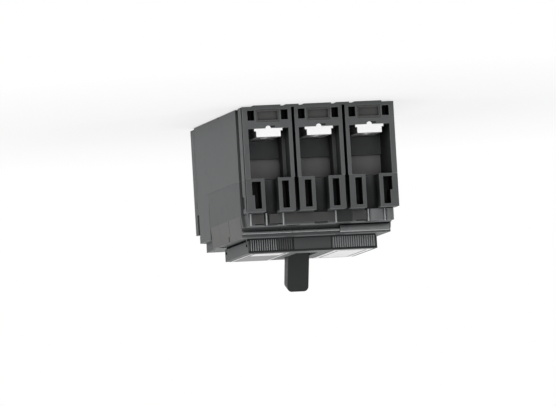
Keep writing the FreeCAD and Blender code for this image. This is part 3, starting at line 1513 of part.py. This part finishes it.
def make_trip_parts():
    """What releases the latch: the bar across the poles and the button that tests it."""
    return [make_trip_bar(), make_trip_button(), make_button_spring()]


check_and_write(make_housing() + make_pole_parts() + make_switching_parts() + make_mechanism()
                + make_trip_parts())
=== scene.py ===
"""Looks of a three-pole molded case circuit breaker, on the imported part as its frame."""

import json
import math

import bmesh
import bpy
from mathutils import Matrix, Vector


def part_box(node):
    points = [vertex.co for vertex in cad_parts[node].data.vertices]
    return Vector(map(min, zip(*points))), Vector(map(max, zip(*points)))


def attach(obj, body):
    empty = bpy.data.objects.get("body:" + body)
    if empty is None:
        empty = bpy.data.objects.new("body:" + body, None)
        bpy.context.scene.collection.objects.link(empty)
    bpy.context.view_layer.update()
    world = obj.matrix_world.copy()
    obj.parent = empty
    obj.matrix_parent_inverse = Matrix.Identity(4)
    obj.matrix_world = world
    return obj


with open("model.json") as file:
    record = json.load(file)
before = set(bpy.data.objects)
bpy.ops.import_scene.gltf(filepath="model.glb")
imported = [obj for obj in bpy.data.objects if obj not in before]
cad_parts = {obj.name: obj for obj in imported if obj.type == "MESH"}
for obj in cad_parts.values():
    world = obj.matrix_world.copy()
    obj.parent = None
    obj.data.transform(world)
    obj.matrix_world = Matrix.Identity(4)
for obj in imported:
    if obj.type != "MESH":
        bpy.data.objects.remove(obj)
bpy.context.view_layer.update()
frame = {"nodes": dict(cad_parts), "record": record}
record = frame["record"]
nodes = frame["nodes"]


# Nodes and sockets, each known by its identifier with _ for a space


def socket_called(sockets, name):
    return next(socket for socket in sockets if socket.identifier.replace(" ", "_") == name)


def connect(tree, value, socket):
    """Links a field to a socket, or sets the socket to a plain value."""
    if isinstance(value, Field):
        tree.links.new(value.socket, socket)
    else:
        socket.default_value = value


def make_node(tree, kind, settings=None, **values):
    """Adds a node with its settings and socket values, and gives its outputs by name."""
    node = tree.nodes.new(kind)
    for name, value in (settings or {}).items():
        setattr(node, name, value)
    for name, value in values.items():
        connect(tree, value, socket_called(node.inputs, name))
    return {socket.identifier.replace(" ", "_"): Field(tree, socket) for socket in node.outputs}


class Field:
    """A shader socket that takes part in arithmetic."""

    def __init__(self, tree, socket):
        self.tree = tree
        self.socket = socket

    def math(self, operation, *values):
        sides = dict(zip(("Value", "Value_001"), values))
        return make_node(self.tree, "ShaderNodeMath", {"operation": operation}, **sides)["Value"]

    def __add__(self, other):
        return self.math("ADD", self, other)

    __radd__ = __add__

    def __mul__(self, other):
        return self.math("MULTIPLY", self, other)

    __rmul__ = __mul__

    def __sub__(self, other):
        return self.math("SUBTRACT", self, other)

    def __rsub__(self, other):
        return self.math("SUBTRACT", other, self)

    def __abs__(self):
        return self.math("ABSOLUTE", self)

    def over(self, low, high):
        """0 below low, 1 above high, a straight ramp between."""
        return make_node(self.tree, "ShaderNodeMapRange", Value=self, From_Min=low,
                         From_Max=high)["Result"]


# Measures, and places on the part

MM = 0.001
SEAM_BLUR = 0.06 * MM
EDGE_RADIUS = 0.3 * MM
# Reach of the painted highlight along edges
EDGE_HIGHLIGHT_RADIUS = 0.45 * MM
SPARK_GRAIN = 0.02 * MM
HOLLOW_REACH = 16 * MM
SLOT_REACH = 12 * MM

lid_low, lid_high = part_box("left_lid")
CASE_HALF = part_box("main_cover")[1].x
NOSE_FACE = lid_low.y
NOSE_TOP = lid_high.z
NOSE_HALF = lid_high.x
PANEL_HALF = lid_low.x
DECK_TOP = 67.4 * MM
SHOULDER_TOP = 62.4 * MM
TOWER_TOP = 55.7 * MM
DECK_FACE = -47.6 * MM
SHOULDER_FACE = -61.0 * MM
DECK_SPLIT_LEFT = 13.1 * MM
DECK_SPLIT_RIGHT = -12.4 * MM
LIP_END = CASE_HALF - 0.8 * MM
BROW_END = -38.9 * MM


# Materials, and what they are shaded by

MATERIALS = {}


class Surface:
    """A material under construction, shaded by places on the part."""

    def __init__(self, name, colour):
        self.name = name
        self.material = bpy.data.materials.new(name)
        self.material.use_nodes = True
        self.tree = self.material.node_tree
        self.shader = self.tree.nodes["Principled BSDF"]
        self.place = self.make("ShaderNodeTexCoord")["Object"]
        self.colour = colour

    def make(self, kind, settings=None, **values):
        return make_node(self.tree, kind, settings, **values)

    def noise(self, scale, detail=2.0, roughness=0.5, place=None):
        """Noise whose lumps are about 1 / scale metres across."""
        return self.make("ShaderNodeTexNoise", Vector=place or self.place, Scale=scale,
                         Detail=detail, Roughness=roughness)["Fac"]

    def cover(self, share, colour):
        """Lays a colour over the one so far, where and as far as a share from 0 to 1 says."""
        self.colour = self.make("ShaderNodeMix", {"data_type": "RGBA"}, Factor_Float=share,
                                A_Color=self.colour, B_Color=colour)["Result_Color"]

    def bump(self, height, distance, strength=1.0, radius=0.0):
        """A bumped normal, on edges rounded by a radius."""
        values = {"Height": height, "Distance": distance, "Strength": strength}
        if radius:
            values["Normal"] = self.round_normal(radius)
        return self.make("ShaderNodeBump", **values)["Normal"]

    def round_normal(self, radius):
        return self.make("ShaderNodeBevel", {"samples": 4}, Radius=radius)["Normal"]

    def flat_normal(self):
        return self.make("ShaderNodeNewGeometry")["Normal"]

    def hollows(self, reach, low, high):
        """Near 1 deep in slots and corners, 0 on open faces: where painted shade goes."""
        open_share = self.make("ShaderNodeAmbientOcclusion", {"samples": 8}, Distance=reach)["AO"]
        return (1 - open_share).over(low, high)

    def edges(self, radius):
        """1 on the sharp edges, 0 on the faces between them."""
        likeness = self.make("ShaderNodeVectorMath", {"operation": "DOT_PRODUCT"},
                             Vector=self.round_normal(radius), Vector_001=self.flat_normal())
        return (1 - likeness["Value"]).over(0.01, 0.12)

    def within(self, low, high, mirrored):
        """1 inside a box between two corners, 0 outside; mirrored, the same at both sides."""
        axes = self.make("ShaderNodeSeparateXYZ", Vector=self.place)
        inside = 1.0
        for axis, near, far in zip("XYZ", low, high):
            place = abs(axes[axis]) if mirrored and axis == "X" else axes[axis]
            depth = (far - near) / 2 - abs(place - (near + far) / 2)
            inside = inside * depth.over(-SEAM_BLUR, SEAM_BLUR)
        return inside

    def facing_sides(self):
        """1 on walls that face along X, 0 on all others."""
        axes = self.make("ShaderNodeSeparateXYZ", Vector=self.flat_normal())
        return abs(axes["X"]).over(0.6, 0.9)

    def finish(self, **values):
        """Gives the shader its colour and other values, and files the material by its name."""
        for name, value in {"Base_Color": self.colour, **values}.items():
            connect(self.tree, value, socket_called(self.shader.inputs, name))
        MATERIALS[self.name] = self.material


# Places that are darker or lighter, as boxes: ranges along X, Y and Z in millimetres


def beside(place, below, above):
    """A range in millimetres from below to above a place that is in metres."""
    return place / MM - below, place / MM + above


def span(x, y, z):
    """Two corners, in metres, of a box given by its three ranges in millimetres."""
    return tuple(tuple(side[end] * MM for side in (x, y, z)) for end in (0, 1))


def mark(x, y, z, depth, mirrored=True):
    """A shaded place: its box as span has it, how dark it is, and if both sides have it."""
    return span(x, y, z) + (mirrored, depth)


# How dark the marks are: dark seams, and painted shade at notches, slots and small gaps
SEAM_AND_SHADE = 0.9
DEEP_SHADE = 0.85
SHADE = 0.6
SOFT_SHADE = 0.5

POLES = (-27.0, 0.0, 27.0)
PIP_FRONT = (-68.8, -66.0)
BASE_HEIGHT = (-0.5, 39.0)
COVER_HEIGHT = (38.0, 56.5)
SIDE = beside(CASE_HALF, 1.1, 0.3)
GROOVE_FLOOR = beside(CASE_HALF, 2.0, -1.3)
SIDE_GROOVES = ((-57.8, -50.4), (-67.8, -64.9))
SHOULDER_FRONT = beside(SHOULDER_FACE, 0.2, 0.2)
DECK_FRONT = beside(DECK_FACE, 0.4, 0.3)
NOSE_FRONT = beside(NOSE_FACE, 0.5, 0.5)
NOSE_WIDTH = (0.0, NOSE_HALF / MM)
LIP_STRETCH = (DECK_SPLIT_RIGHT / MM, LIP_END / MM)
PANEL_SHADOW_SPANS = ((30.4, 35.5), (20.7, 26.7), (-24.2, -18.7))

# Painted shade: a notch low in the base's side
BASE_NOTCH_SHADE = mark(SIDE, (-8.1, -3.5), (-0.5, 1.3), SEAM_AND_SHADE)
# Painted shadows beside the terminals' pips
PIP_SHADOWS = [mark((pole - 3.6, pole - 1.0), PIP_FRONT, (10.9, 11.8), DEEP_SHADE, False)
            for pole in POLES]
JOINT_LINE = mark(SIDE, (30.1, 31.7), (43.0, 67.6), SEAM_AND_SHADE)
SIDE_LINE = mark(SIDE, (-17.4, -16.7), (56.5, 64.6), SEAM_AND_SHADE)
# Painted shade: a small slot in the cover's side
SIDE_SLOT_SHADE = mark(SIDE, (-15.6, -12.2), (64.4, 67.2), SEAM_AND_SHADE)
# Painted shadow lines under the shoulder's panels
PANEL_SHADOW_LINES = [mark(shadow_span, SHOULDER_FRONT, beside(SHOULDER_TOP, 0.9, -0.3), DEEP_SHADE, False)
         for shadow_span in PANEL_SHADOW_SPANS]
# Painted shadow on the shoulder between two panels
SHOULDER_SHADOW = mark((-16.6, -8.6), SHOULDER_FRONT, (55.0, 62.3), SHADE, False)
LIP_SHADES = [mark(LIP_STRETCH, DECK_FRONT, height, SOFT_SHADE, False)
              for height in ((63.1, 64.3), (65.7, 67.5))]
# Painted shade on the deck's top at the foot of the nose
NOSE_FOOT_SHADE = mark(NOSE_WIDTH, beside(NOSE_FACE, 1.2, 1.0), (67.0, 67.6), 0.7)
NOSE_SEAMS = mark(beside(PANEL_HALF, 0.22, 0.22), NOSE_FRONT,
                  (DECK_TOP / MM, NOSE_TOP / MM + 0.1), SEAM_AND_SHADE)
# Painted shade along the foot of the nose's front
NOSE_BASE_SHADE = mark(NOSE_WIDTH, NOSE_FRONT, beside(DECK_TOP, 0.0, 0.6), SHADE)

# Painted shade in the grooves near the line end, on both sides of base and cover
CASE_MARKS = [mark(GROOVE_FLOOR, groove, BASE_HEIGHT, SHADE) for groove in SIDE_GROOVES]
CASE_MARKS += [BASE_NOTCH_SHADE] + PIP_SHADOWS
COVER_MARKS = [mark(GROOVE_FLOOR, groove, COVER_HEIGHT, SHADE) for groove in SIDE_GROOVES]
COVER_MARKS += [JOINT_LINE, SIDE_LINE, SIDE_SLOT_SHADE] + PANEL_SHADOW_LINES + [SHOULDER_SHADOW] + LIP_SHADES
COVER_MARKS += [NOSE_FOOT_SHADE]
NOSE_MARKS = [NOSE_SEAMS, NOSE_BASE_SHADE]
# Painted light: a lighter band along the cover's side, where a drafted face catches light
SIDE_LIGHT_BAND = span(SIDE, (-48.0, 30.6), (56.3, 68.0))
# Pockets whose side walls get painted shade
POCKETS = span((0.0, CASE_HALF / MM - 2.1), (-67.0, -40.0), (12.0, 55.0))


# The part's finishes, some of them lighter copies for painted highlights

NEUTRAL = (0.0, 0.0, 0.0)
COOL = (-0.03, 0.01, 0.02)
WARM = (0.03, 0.0, -0.04)
FAINTLY_WARM = (0.01, 0.0, -0.01)
DARK_COPPER = (0.16, 0.055, 0.025, 1.0)
BRIGHT_COPPER = (0.62, 0.27, 0.13, 1.0)
WHITE = (1.0, 1.0, 1.0, 1.0)
ALL_WAYS = (1.0, 1.0, 1.0)
ALONG_X = (0.2, 1.0, 1.0)
ALONG_Y = (1.0, 0.1, 1.0)
ALONG_Z = (1.0, 1.0, 0.1)


def grey(level, tint=NEUTRAL):
    """A linear colour from a grey as seen, 0 to 255, with a small tint."""
    linear = (level / 255.0) ** 2.2
    return tuple(linear * (1.0 + shift) for shift in tint) + (1.0,)


def moulded(name, level, tint=COOL, roughness=0.52, gloss=0.1, edge_highlight=0.55, marks=(),
            band=None, pockets=None):
    """Moulded thermoset: fine spark grain, faint flow clouds, dull scuffs, shaded seams."""
    surface = Surface(name, grey(level * 0.965, tint))
    clouds = surface.noise(38.0, detail=3.0).over(0.3, 0.7)
    speck = surface.noise(2600.0)
    scuff = surface.noise(160.0, detail=5.0, roughness=0.7).over(0.56, 0.74)
    # Clouds, specks and scuffs, and a painted highlight along the edges
    surface.cover(clouds, grey(level * 1.035, tint))
    surface.cover(speck.over(0.55, 0.8) * 0.25, grey(level * 1.25, tint))
    surface.cover(scuff * 0.22, grey(level * 1.16, tint))
    surface.cover(surface.edges(EDGE_HIGHLIGHT_RADIUS) * edge_highlight, grey(level * 1.6, tint))
    # Painted light on a band of the side, and painted shade where little light gets in
    if band:
        surface.cover(surface.within(*band, mirrored=True), grey(level * 1.12, FAINTLY_WARM))
    # Painted shade in hollows, near black in slots
    surface.cover(surface.hollows(HOLLOW_REACH, 0.3, 0.75) * 0.5, grey(level * 0.45, tint))
    surface.cover(surface.hollows(SLOT_REACH, 0.62, 0.82) * 0.96, grey(level * 0.1, tint))
    # Painted shade on the pockets' side walls, which face along X
    if pockets:
        shaded_side_walls = surface.within(*pockets, mirrored=True) * surface.facing_sides()
        surface.cover(shaded_side_walls * 0.7, grey(level * 0.3, tint))
    # Dark seams, and painted shade in grooves, notches, slots and under ledges
    for low, high, mirrored, depth in marks:
        surface.cover(surface.within(low, high, mirrored) * depth, grey(level * 0.25, tint))
    surface.finish(Roughness=roughness + scuff * 0.12 + (clouds - 0.5) * 0.06,
                   Specular_IOR_Level=gloss,
                   Normal=surface.bump(speck, SPARK_GRAIN, 0.6, EDGE_RADIUS))


def metal(name, level, tint, roughness, rolled=ALL_WAYS, tarnish=0.12):
    """Plated or rolled metal with fine lines along its rolling direction."""
    surface = Surface(name, grey(level, tint))
    stretched = surface.make("ShaderNodeMapping", Vector=surface.place, Scale=rolled)["Vector"]
    lines = surface.noise(900.0, detail=3.0, place=stretched)
    stain = surface.noise(120.0, detail=4.0, roughness=0.65).over(0.45, 0.75)
    surface.cover(stain * tarnish, grey(level * 0.72, WARM))
    surface.cover(lines.over(0.35, 0.7) * 0.2, grey(level * 1.06, tint))
    surface.finish(Metallic=0.92, Roughness=roughness + lines * 0.14 + stain * 0.08,
                   Normal=surface.bump(lines, 0.03 * MM, 0.4))


def paper(name, level):
    """Bare label stock: a faint fibre, slightly soiled in patches."""
    surface = Surface(name, grey(level))
    fibre = surface.noise(1400.0, detail=4.0, roughness=0.7)
    soil = surface.noise(60.0, detail=4.0).over(0.5, 0.8)
    surface.cover(fibre.over(0.3, 0.7) * 0.2, grey(level * 1.05))
    surface.cover(soil * 0.18, grey(level * 0.88, WARM))
    surface.finish(Roughness=0.42 + fibre * 0.1, Normal=surface.bump(fibre, 0.02 * MM, 0.3))


def braid(name):
    """Woven copper wire."""
    surface = Surface(name, DARK_COPPER)
    weave = surface.make("ShaderNodeTexWave", {"bands_direction": "DIAGONAL"},
                         Vector=surface.place, Scale=700.0, Distortion=1.5)["Fac"]
    surface.cover(weave, BRIGHT_COPPER)
    surface.finish(Metallic=0.9, Roughness=0.34 + weave * 0.2,
                   Normal=surface.bump(weave, 0.2 * MM))


moulded("case_plastic", 104, marks=CASE_MARKS, pockets=POCKETS)
moulded("cover_plastic", 97, marks=COVER_MARKS, band=SIDE_LIGHT_BAND, pockets=POCKETS)
moulded("nose_plastic", 98, marks=NOSE_MARKS)
moulded("toggle_plastic", 56, roughness=0.42)
moulded("carrier_plastic", 92, tint=(0.02, 0.01, 0.0), roughness=0.6)
moulded("shaft_resin", 58, tint=WARM, roughness=0.48)
moulded("vent_fibre", 162, tint=(0.03, 0.0, 0.01), roughness=0.8)
moulded("panel_plastic", 86, tint=(0.02, 0.0, -0.01), edge_highlight=0.3)
# Lighter copies of the plastic, for painted highlights on lip, brow, swells, ribs and beads
moulded("rubbed_plastic", 112, roughness=0.28, gloss=0.5)
moulded("rib_plastic", 156, roughness=0.34, gloss=0.4)
moulded("bead_plastic", 176, roughness=0.4, gloss=0.4)
paper("rule_grey", 84)
paper("label_grey", 104)
paper("label_pale", 226)
metal("tinned_copper", 236, NEUTRAL, 0.3, ALONG_Y, tarnish=0.06)
metal("contact_silver", 226, (0.0, 0.0, -0.01), 0.28)
metal("zinc_steel", 178, COOL, 0.36)
metal("ground_steel", 190, COOL, 0.24, ALONG_X)
metal("spring_steel", 168, COOL, 0.3)
metal("plate_steel", 160, COOL, 0.38, ALONG_Y)
metal("bimetal", 172, WARM, 0.36, ALONG_Z)
braid("copper_braid")


def dress(piece, material):
    """Gives every material slot of a piece one material."""
    if not piece.material_slots:
        piece.data.materials.append(material)
    for slot in piece.material_slots:
        slot.material = material


for entry in record["subparts"]:
    dress(nodes[entry["node"]], MATERIALS[entry["material_slot"]])


# Raised details, each built on the face that carries it, with its foot sunk into that face

SINK = 0.15 * MM
SMOOTH_BELOW = math.radians(38)


class Solid:
    """A mesh under construction: its points and faces."""

    def __init__(self):
        self.points = []
        self.faces = []

    def sweep(self, axis, low, high, outline):
        """Carries an outline, given across the axis, from one place along it to another."""
        start = len(self.points)
        count = len(outline)
        for place in (low, high):
            for first, second in outline:
                point = [first, second]
                point.insert("XYZ".index(axis), place)
                self.points.append(point)
        for index in range(count):
            following = (index + 1) % count
            self.faces.append((start + index, start + following, start + count + following,
                               start + count + index))
        self.faces.append(tuple(range(start + count - 1, start - 1, -1)))
        self.faces.append(tuple(range(start + count, start + 2 * count)))

    def piece(self, name, body, slot, finish=None):
        """Makes the piece that rides on a body, in its slot's material or a finish of it."""
        mesh = bpy.data.meshes.new(name)
        mesh.from_pydata(self.points, [], self.faces)
        build = bmesh.new()
        build.from_mesh(mesh)
        bmesh.ops.recalc_face_normals(build, faces=build.faces)
        build.to_mesh(mesh)
        build.free()
        for face in mesh.polygons:
            face.use_smooth = True
        mesh.set_sharp_from_angle(angle=SMOOTH_BELOW)
        piece = bpy.data.objects.new(name, mesh)
        bpy.context.scene.collection.objects.link(piece)
        dress(piece, MATERIALS[finish or slot])
        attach(piece, body)


def half_round(middle, width, rise, foot, steps=8):
    """An outline that swells from a flat foot: pairs of a place across it and a depth."""
    points = [(middle - width / 2, foot + SINK)]
    for index in range(steps + 1):
        angle = math.pi * index / steps
        points.append((middle - width / 2 * math.cos(angle), foot - rise * math.sin(angle)))
    points.append((middle + width / 2, foot + SINK))
    return points


def plate(low, high, rise, foot, bevel=0.12 * MM):
    """An outline of a flat plate with bevelled edges, as half_round gives it."""
    return [(low, foot + SINK), (low, foot - rise + bevel), (low + bevel, foot - rise),
            (high - bevel, foot - rise), (high, foot - rise + bevel), (high, foot + SINK)]


def across_y(outline):
    """Turns pairs of (place, depth along Y) round for a sweep along X, which takes (Y, Z)."""
    return [(depth, place) for place, depth in outline]


LIP = {"middle": 65.0 * MM, "width": 1.7 * MM, "rise": 0.9 * MM}
BROW = {"middle": 64.6 * MM, "width": 4.2 * MM, "rise": 1.5 * MM, "steps": 12}


def make_deck_edge():
    """The deck's front edge: a rounded lip in two stretches, and the bulging brow at the right."""
    line = 0.15 * MM
    edge = Solid()
    lip = across_y(half_round(foot=DECK_FACE, **LIP))
    edge.sweep("X", DECK_SPLIT_LEFT + line, LIP_END, lip)
    edge.sweep("X", DECK_SPLIT_RIGHT + line, DECK_SPLIT_LEFT - line, lip)
    brow = across_y(half_round(foot=DECK_FACE, **BROW))
    edge.sweep("X", BROW_END, DECK_SPLIT_RIGHT - line, brow)
    # A lighter copy of the cover plastic: a painted highlight on the lip and brow
    edge.piece("deck_edge", "case", "cover_plastic", "rubbed_plastic")


SHOULDER_BEADS = (37.6, 29.2, 20.2, -7.9, -25.3, -34.1)
SHOULDER_PANELS = ((30.4, 36.2), (21.6, 27.6), (-7.2, 18.8), (-24.4, -16.8))
SHOULDER_SWELLS = ((-33.5, -26.0), (BROW_END / MM, -34.8))
BEAD_WIDTH = 0.9 * MM
BEAD_RISE = 0.45 * MM
SWELL_RISE = 1.0 * MM
PANEL_RISE = 0.3 * MM


def make_shoulder():
    """Beads, swells and flat panels on the shoulder's line-end face."""
    low = TOWER_TOP + 0.4 * MM
    high = SHOULDER_TOP - 0.1 * MM
    beads = Solid()
    for middle in SHOULDER_BEADS:
        beads.sweep("Z", low, high, half_round(middle * MM, BEAD_WIDTH, BEAD_RISE, SHOULDER_FACE))
    # Painted highlight on the beads, in a lighter copy of the cover plastic
    beads.piece("shoulder_beads", "case", "cover_plastic", "bead_plastic")
    swells = Solid()
    for left, right in SHOULDER_SWELLS:
        swells.sweep("Z", low, high, half_round((left + right) / 2 * MM, (right - left) * MM,
                                                SWELL_RISE, SHOULDER_FACE))
    # Painted highlight on the swells
    swells.piece("shoulder_swells", "case", "cover_plastic", "rubbed_plastic")
    panels = Solid()
    for left, right in SHOULDER_PANELS:
        panels.sweep("Z", low + 0.5 * MM, high - 0.9 * MM,
                     plate(left * MM, right * MM, PANEL_RISE, SHOULDER_FACE))
    panels.piece("shoulder_panels", "case", "cover_plastic", "panel_plastic")


RIB_PITCH = 1.2 * MM
RIB_RISE = 0.3 * MM
RIM_RISE = 0.35 * MM
RIM_GAP = 0.1 * MM


def make_nose_ribs(side, first, body):
    """Rounded grip ribs on one lid's front, from a place beside the middle to its edge."""
    ribs = Solid()
    place = PANEL_HALF + RIB_PITCH
    while place < NOSE_HALF - RIB_PITCH / 2:
        if place > first:
            ribs.sweep("Z", DECK_TOP + 0.7 * MM, NOSE_TOP - 1.2 * MM,
                       half_round(side * place, RIB_PITCH / 2, RIB_RISE, NOSE_FACE, steps=6))
        place += RIB_PITCH
    # Painted highlight on the ribs, in a lighter copy of the plastic
    ribs.piece(body + "_ribs", body, "nose_plastic", "rib_plastic")


def make_nose_edge_shades():
    """Painted shade as a dark strip along the nose's front top edge, on the lids and escutcheon."""
    outline = across_y(plate(NOSE_TOP - 1.1 * MM, NOSE_TOP - 0.02 * MM, RIM_RISE, NOSE_FACE))
    for name, body, low, high in (("left_lid_rim", "left_lid", PANEL_HALF, NOSE_HALF),
                                  ("right_lid_rim", "right_lid", -NOSE_HALF, -PANEL_HALF),
                                  ("escutcheon_rim", "case", -PANEL_HALF, PANEL_HALF)):
        rim = Solid()
        rim.sweep("X", low + RIM_GAP, high - RIM_GAP, outline)
        rim.piece(name, body, "toggle_plastic")


PRINT_BELOW = 0.02 * MM
PRINT_ABOVE = 0.03 * MM
FIELD_MARGIN = 2.5 * MM


def make_ring(name, body, slot, finish, centre, halves, corner, line):
    """A thin printed line round a field with rounded corners, as a very flat ring."""
    steps = 32
    ring = Solid()
    for index in range(steps):
        angle = 2 * math.pi * (index + 0.5) / steps
        cosine, sine = math.cos(angle), math.sin(angle)
        for inset in (0.0, line):
            radius = corner - inset
            across = math.copysign(halves[0] - corner, cosine) + radius * cosine
            along = math.copysign(halves[1] - corner, sine) + radius * sine
            for rise in (-PRINT_BELOW, PRINT_ABOVE):
                ring.points.append((centre[0] + across, centre[1] + along, centre[2] + rise))
        here = 4 * index
        there = 4 * ((index + 1) % steps)
        for first, second in ((0, 1), (1, 3), (3, 2), (2, 0)):
            ring.faces.append((here + first, here + second, there + second, there + first))
    ring.piece(name, body, slot, finish)


def make_label_lines():
    """Bare rulings: a grey outline on the pale label, and a pale border, a grey line, a pale
    field and a grey bar on the grey one. Margin, corner and line are in millimetres."""
    for name, node, body, slot, finish, margin, corner, line in (
            ("right_outline", "right_label", "right_lid", "label_pale", "rule_grey", 2.2, 3.6, 0.9),
            ("left_border", "left_label", "left_lid", "label_grey", "label_pale", 0.05, 0.9, 0.8),
            ("left_line", "left_label", "left_lid", "label_grey", "rule_grey", 1.9, 1.4, 0.45)):
        low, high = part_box(node)
        middle = (low + high) / 2
        make_ring(name, body, slot, finish, (middle.x, middle.y, high.z),
                  ((high.x - low.x) / 2 - margin * MM, (high.y - low.y) / 2 - margin * MM),
                  corner * MM, line * MM)
    low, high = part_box("left_label")
    left, right = low.x + FIELD_MARGIN, high.x - FIELD_MARGIN
    below, above = high.z - PRINT_BELOW, high.z + PRINT_ABOVE
    for name, finish, start, end in (("left_front_field", "label_pale", 2.5, 17.0),
                                     ("left_front_line", "rule_grey", 17.0, 19.0)):
        field = Solid()
        field.sweep("Y", low.y + start * MM, low.y + end * MM,
                    [(left, below), (right, below), (right, above), (left, above)])
        field.piece(name, "left_lid", "label_grey", finish)


make_deck_edge()
make_shoulder()
make_nose_ribs(1, 19.0 * MM, "left_lid")
make_nose_ribs(-1, 0.0, "right_lid")
make_nose_edge_shades()
make_label_lines()


# Floor, lights and the sky around

FLOOR_HALF = 6.0
SHADOW_REACH = 0.32
SHADOW_DEPTH = 0.3
SKY_LEVEL = 0.14


def seen_directly(tree):
    """1 where the camera, a reflection or a clear piece looks at the surface, else 0."""
    rays = make_node(tree, "ShaderNodeLightPath")
    seen = rays["Is_Camera_Ray"] + rays["Is_Glossy_Ray"] + rays["Is_Transmission_Ray"]
    return seen.over(0.0, 1.0)


def make_floor():
    """A pale floor that looks white, and keeps the part's shadow close to it."""
    mesh = bpy.data.meshes.new("floor")
    mesh.from_pydata([(-FLOOR_HALF, -FLOOR_HALF, 0.0), (FLOOR_HALF, -FLOOR_HALF, 0.0),
                      (FLOOR_HALF, FLOOR_HALF, 0.0), (-FLOOR_HALF, FLOOR_HALF, 0.0)],
                     [], [(0, 1, 2, 3)])
    floor = bpy.data.objects.new("floor", mesh)
    bpy.context.scene.collection.objects.link(floor)
    surface = Surface("floor_paper", (0.86, 0.86, 0.86, 1.0))
    surface.cover(surface.noise(3.0).over(0.2, 0.8), (0.9, 0.9, 0.9, 1.0))
    surface.finish(Roughness=0.9)
    away = surface.make("ShaderNodeVectorMath", {"operation": "LENGTH"}, Vector=surface.place)
    plain = away["Value"].over(SHADOW_REACH / 3, SHADOW_REACH) * SHADOW_DEPTH + (1 - SHADOW_DEPTH)
    white = surface.make("ShaderNodeEmission", Color=WHITE, Strength=1.0)
    whole = surface.make("ShaderNodeMixShader", Fac=seen_directly(surface.tree) * plain,
                         Shader=Field(surface.tree, surface.shader.outputs["BSDF"]),
                         Shader_001=white["Emission"])
    connect(surface.tree, whole["Shader"], surface.tree.nodes["Material Output"].inputs["Surface"])
    dress(floor, surface.material)


def make_sky():
    """Soft even light, which the camera and mirrors see as white."""
    world = bpy.data.worlds.new("sky")
    bpy.context.scene.world = world
    world.use_nodes = True
    tree = world.node_tree
    tree.nodes.clear()
    shine = make_node(tree, "ShaderNodeBackground", Color=WHITE,
                      Strength=seen_directly(tree) * (1 - SKY_LEVEL) + SKY_LEVEL)
    make_node(tree, "ShaderNodeOutputWorld", Surface=shine["Background"])


def make_light(name, place, aim, size, power):
    """A square lamp that faces a point: its side in metres, its power in watts."""
    light = bpy.data.lights.new(name, "AREA")
    light.size = size
    light.energy = power
    lamp = bpy.data.objects.new(name, light)
    bpy.context.scene.collection.objects.link(lamp)
    lamp.location = place
    lamp.rotation_euler = (Vector(aim) - Vector(place)).to_track_quat("-Z", "Y").to_euler()


AZIMUTH = math.radians(12.0)
ELEVATION = math.radians(4.0)
ROLL = math.radians(176.66)
DISTANCE = 6.0
FARTHEST = 30.0
SENSOR_WIDTH = 36.0
IMAGE_WIDTH = 556.0
PIXELS_PER_METRE = 1896.0
AIM = Vector((0.0096, 0.0, 0.0466))


def make_camera():
    """A long lens at the photograph's angle, with the toggle hanging down in the picture."""
    back = Vector((math.sin(AZIMUTH) * math.cos(ELEVATION),
                   -math.cos(AZIMUTH) * math.cos(ELEVATION), math.sin(ELEVATION)))
    level = Vector((0.0, 0.0, 1.0)).cross(back).normalized()
    rise = back.cross(level)
    right = level * math.cos(ROLL) + rise * math.sin(ROLL)
    up = back.cross(right)
    data = bpy.data.cameras.new("camera")
    data.sensor_width = SENSOR_WIDTH
    data.lens = SENSOR_WIDTH * DISTANCE / (IMAGE_WIDTH / PIXELS_PER_METRE)
    data.clip_end = FARTHEST
    camera = bpy.data.objects.new("camera", data)
    bpy.context.scene.collection.objects.link(camera)
    turn = Matrix((right, up, back)).transposed().to_4x4()
    camera.matrix_world = Matrix.Translation(AIM + back * DISTANCE) @ turn
    bpy.context.scene.camera = camera


make_floor()
make_sky()
make_light("key", place=(0.3, -1.35, 0.15), aim=(0.0, 0.0, 0.04), size=0.7, power=3.0)
make_light("side", place=(1.2, -0.5, 0.7), aim=(0.0, 0.0, 0.03), size=1.0, power=3.8)
make_light("rim", place=(-0.9, -1.1, 0.75), aim=(0.0, 0.0, 0.05), size=0.5, power=4.0)
make_light("top", place=(0.0, 0.3, 1.6), aim=(0.0, 0.0, 0.0), size=1.4, power=18.0)
make_camera()
bpy.context.scene.view_settings.view_transform = "Standard"
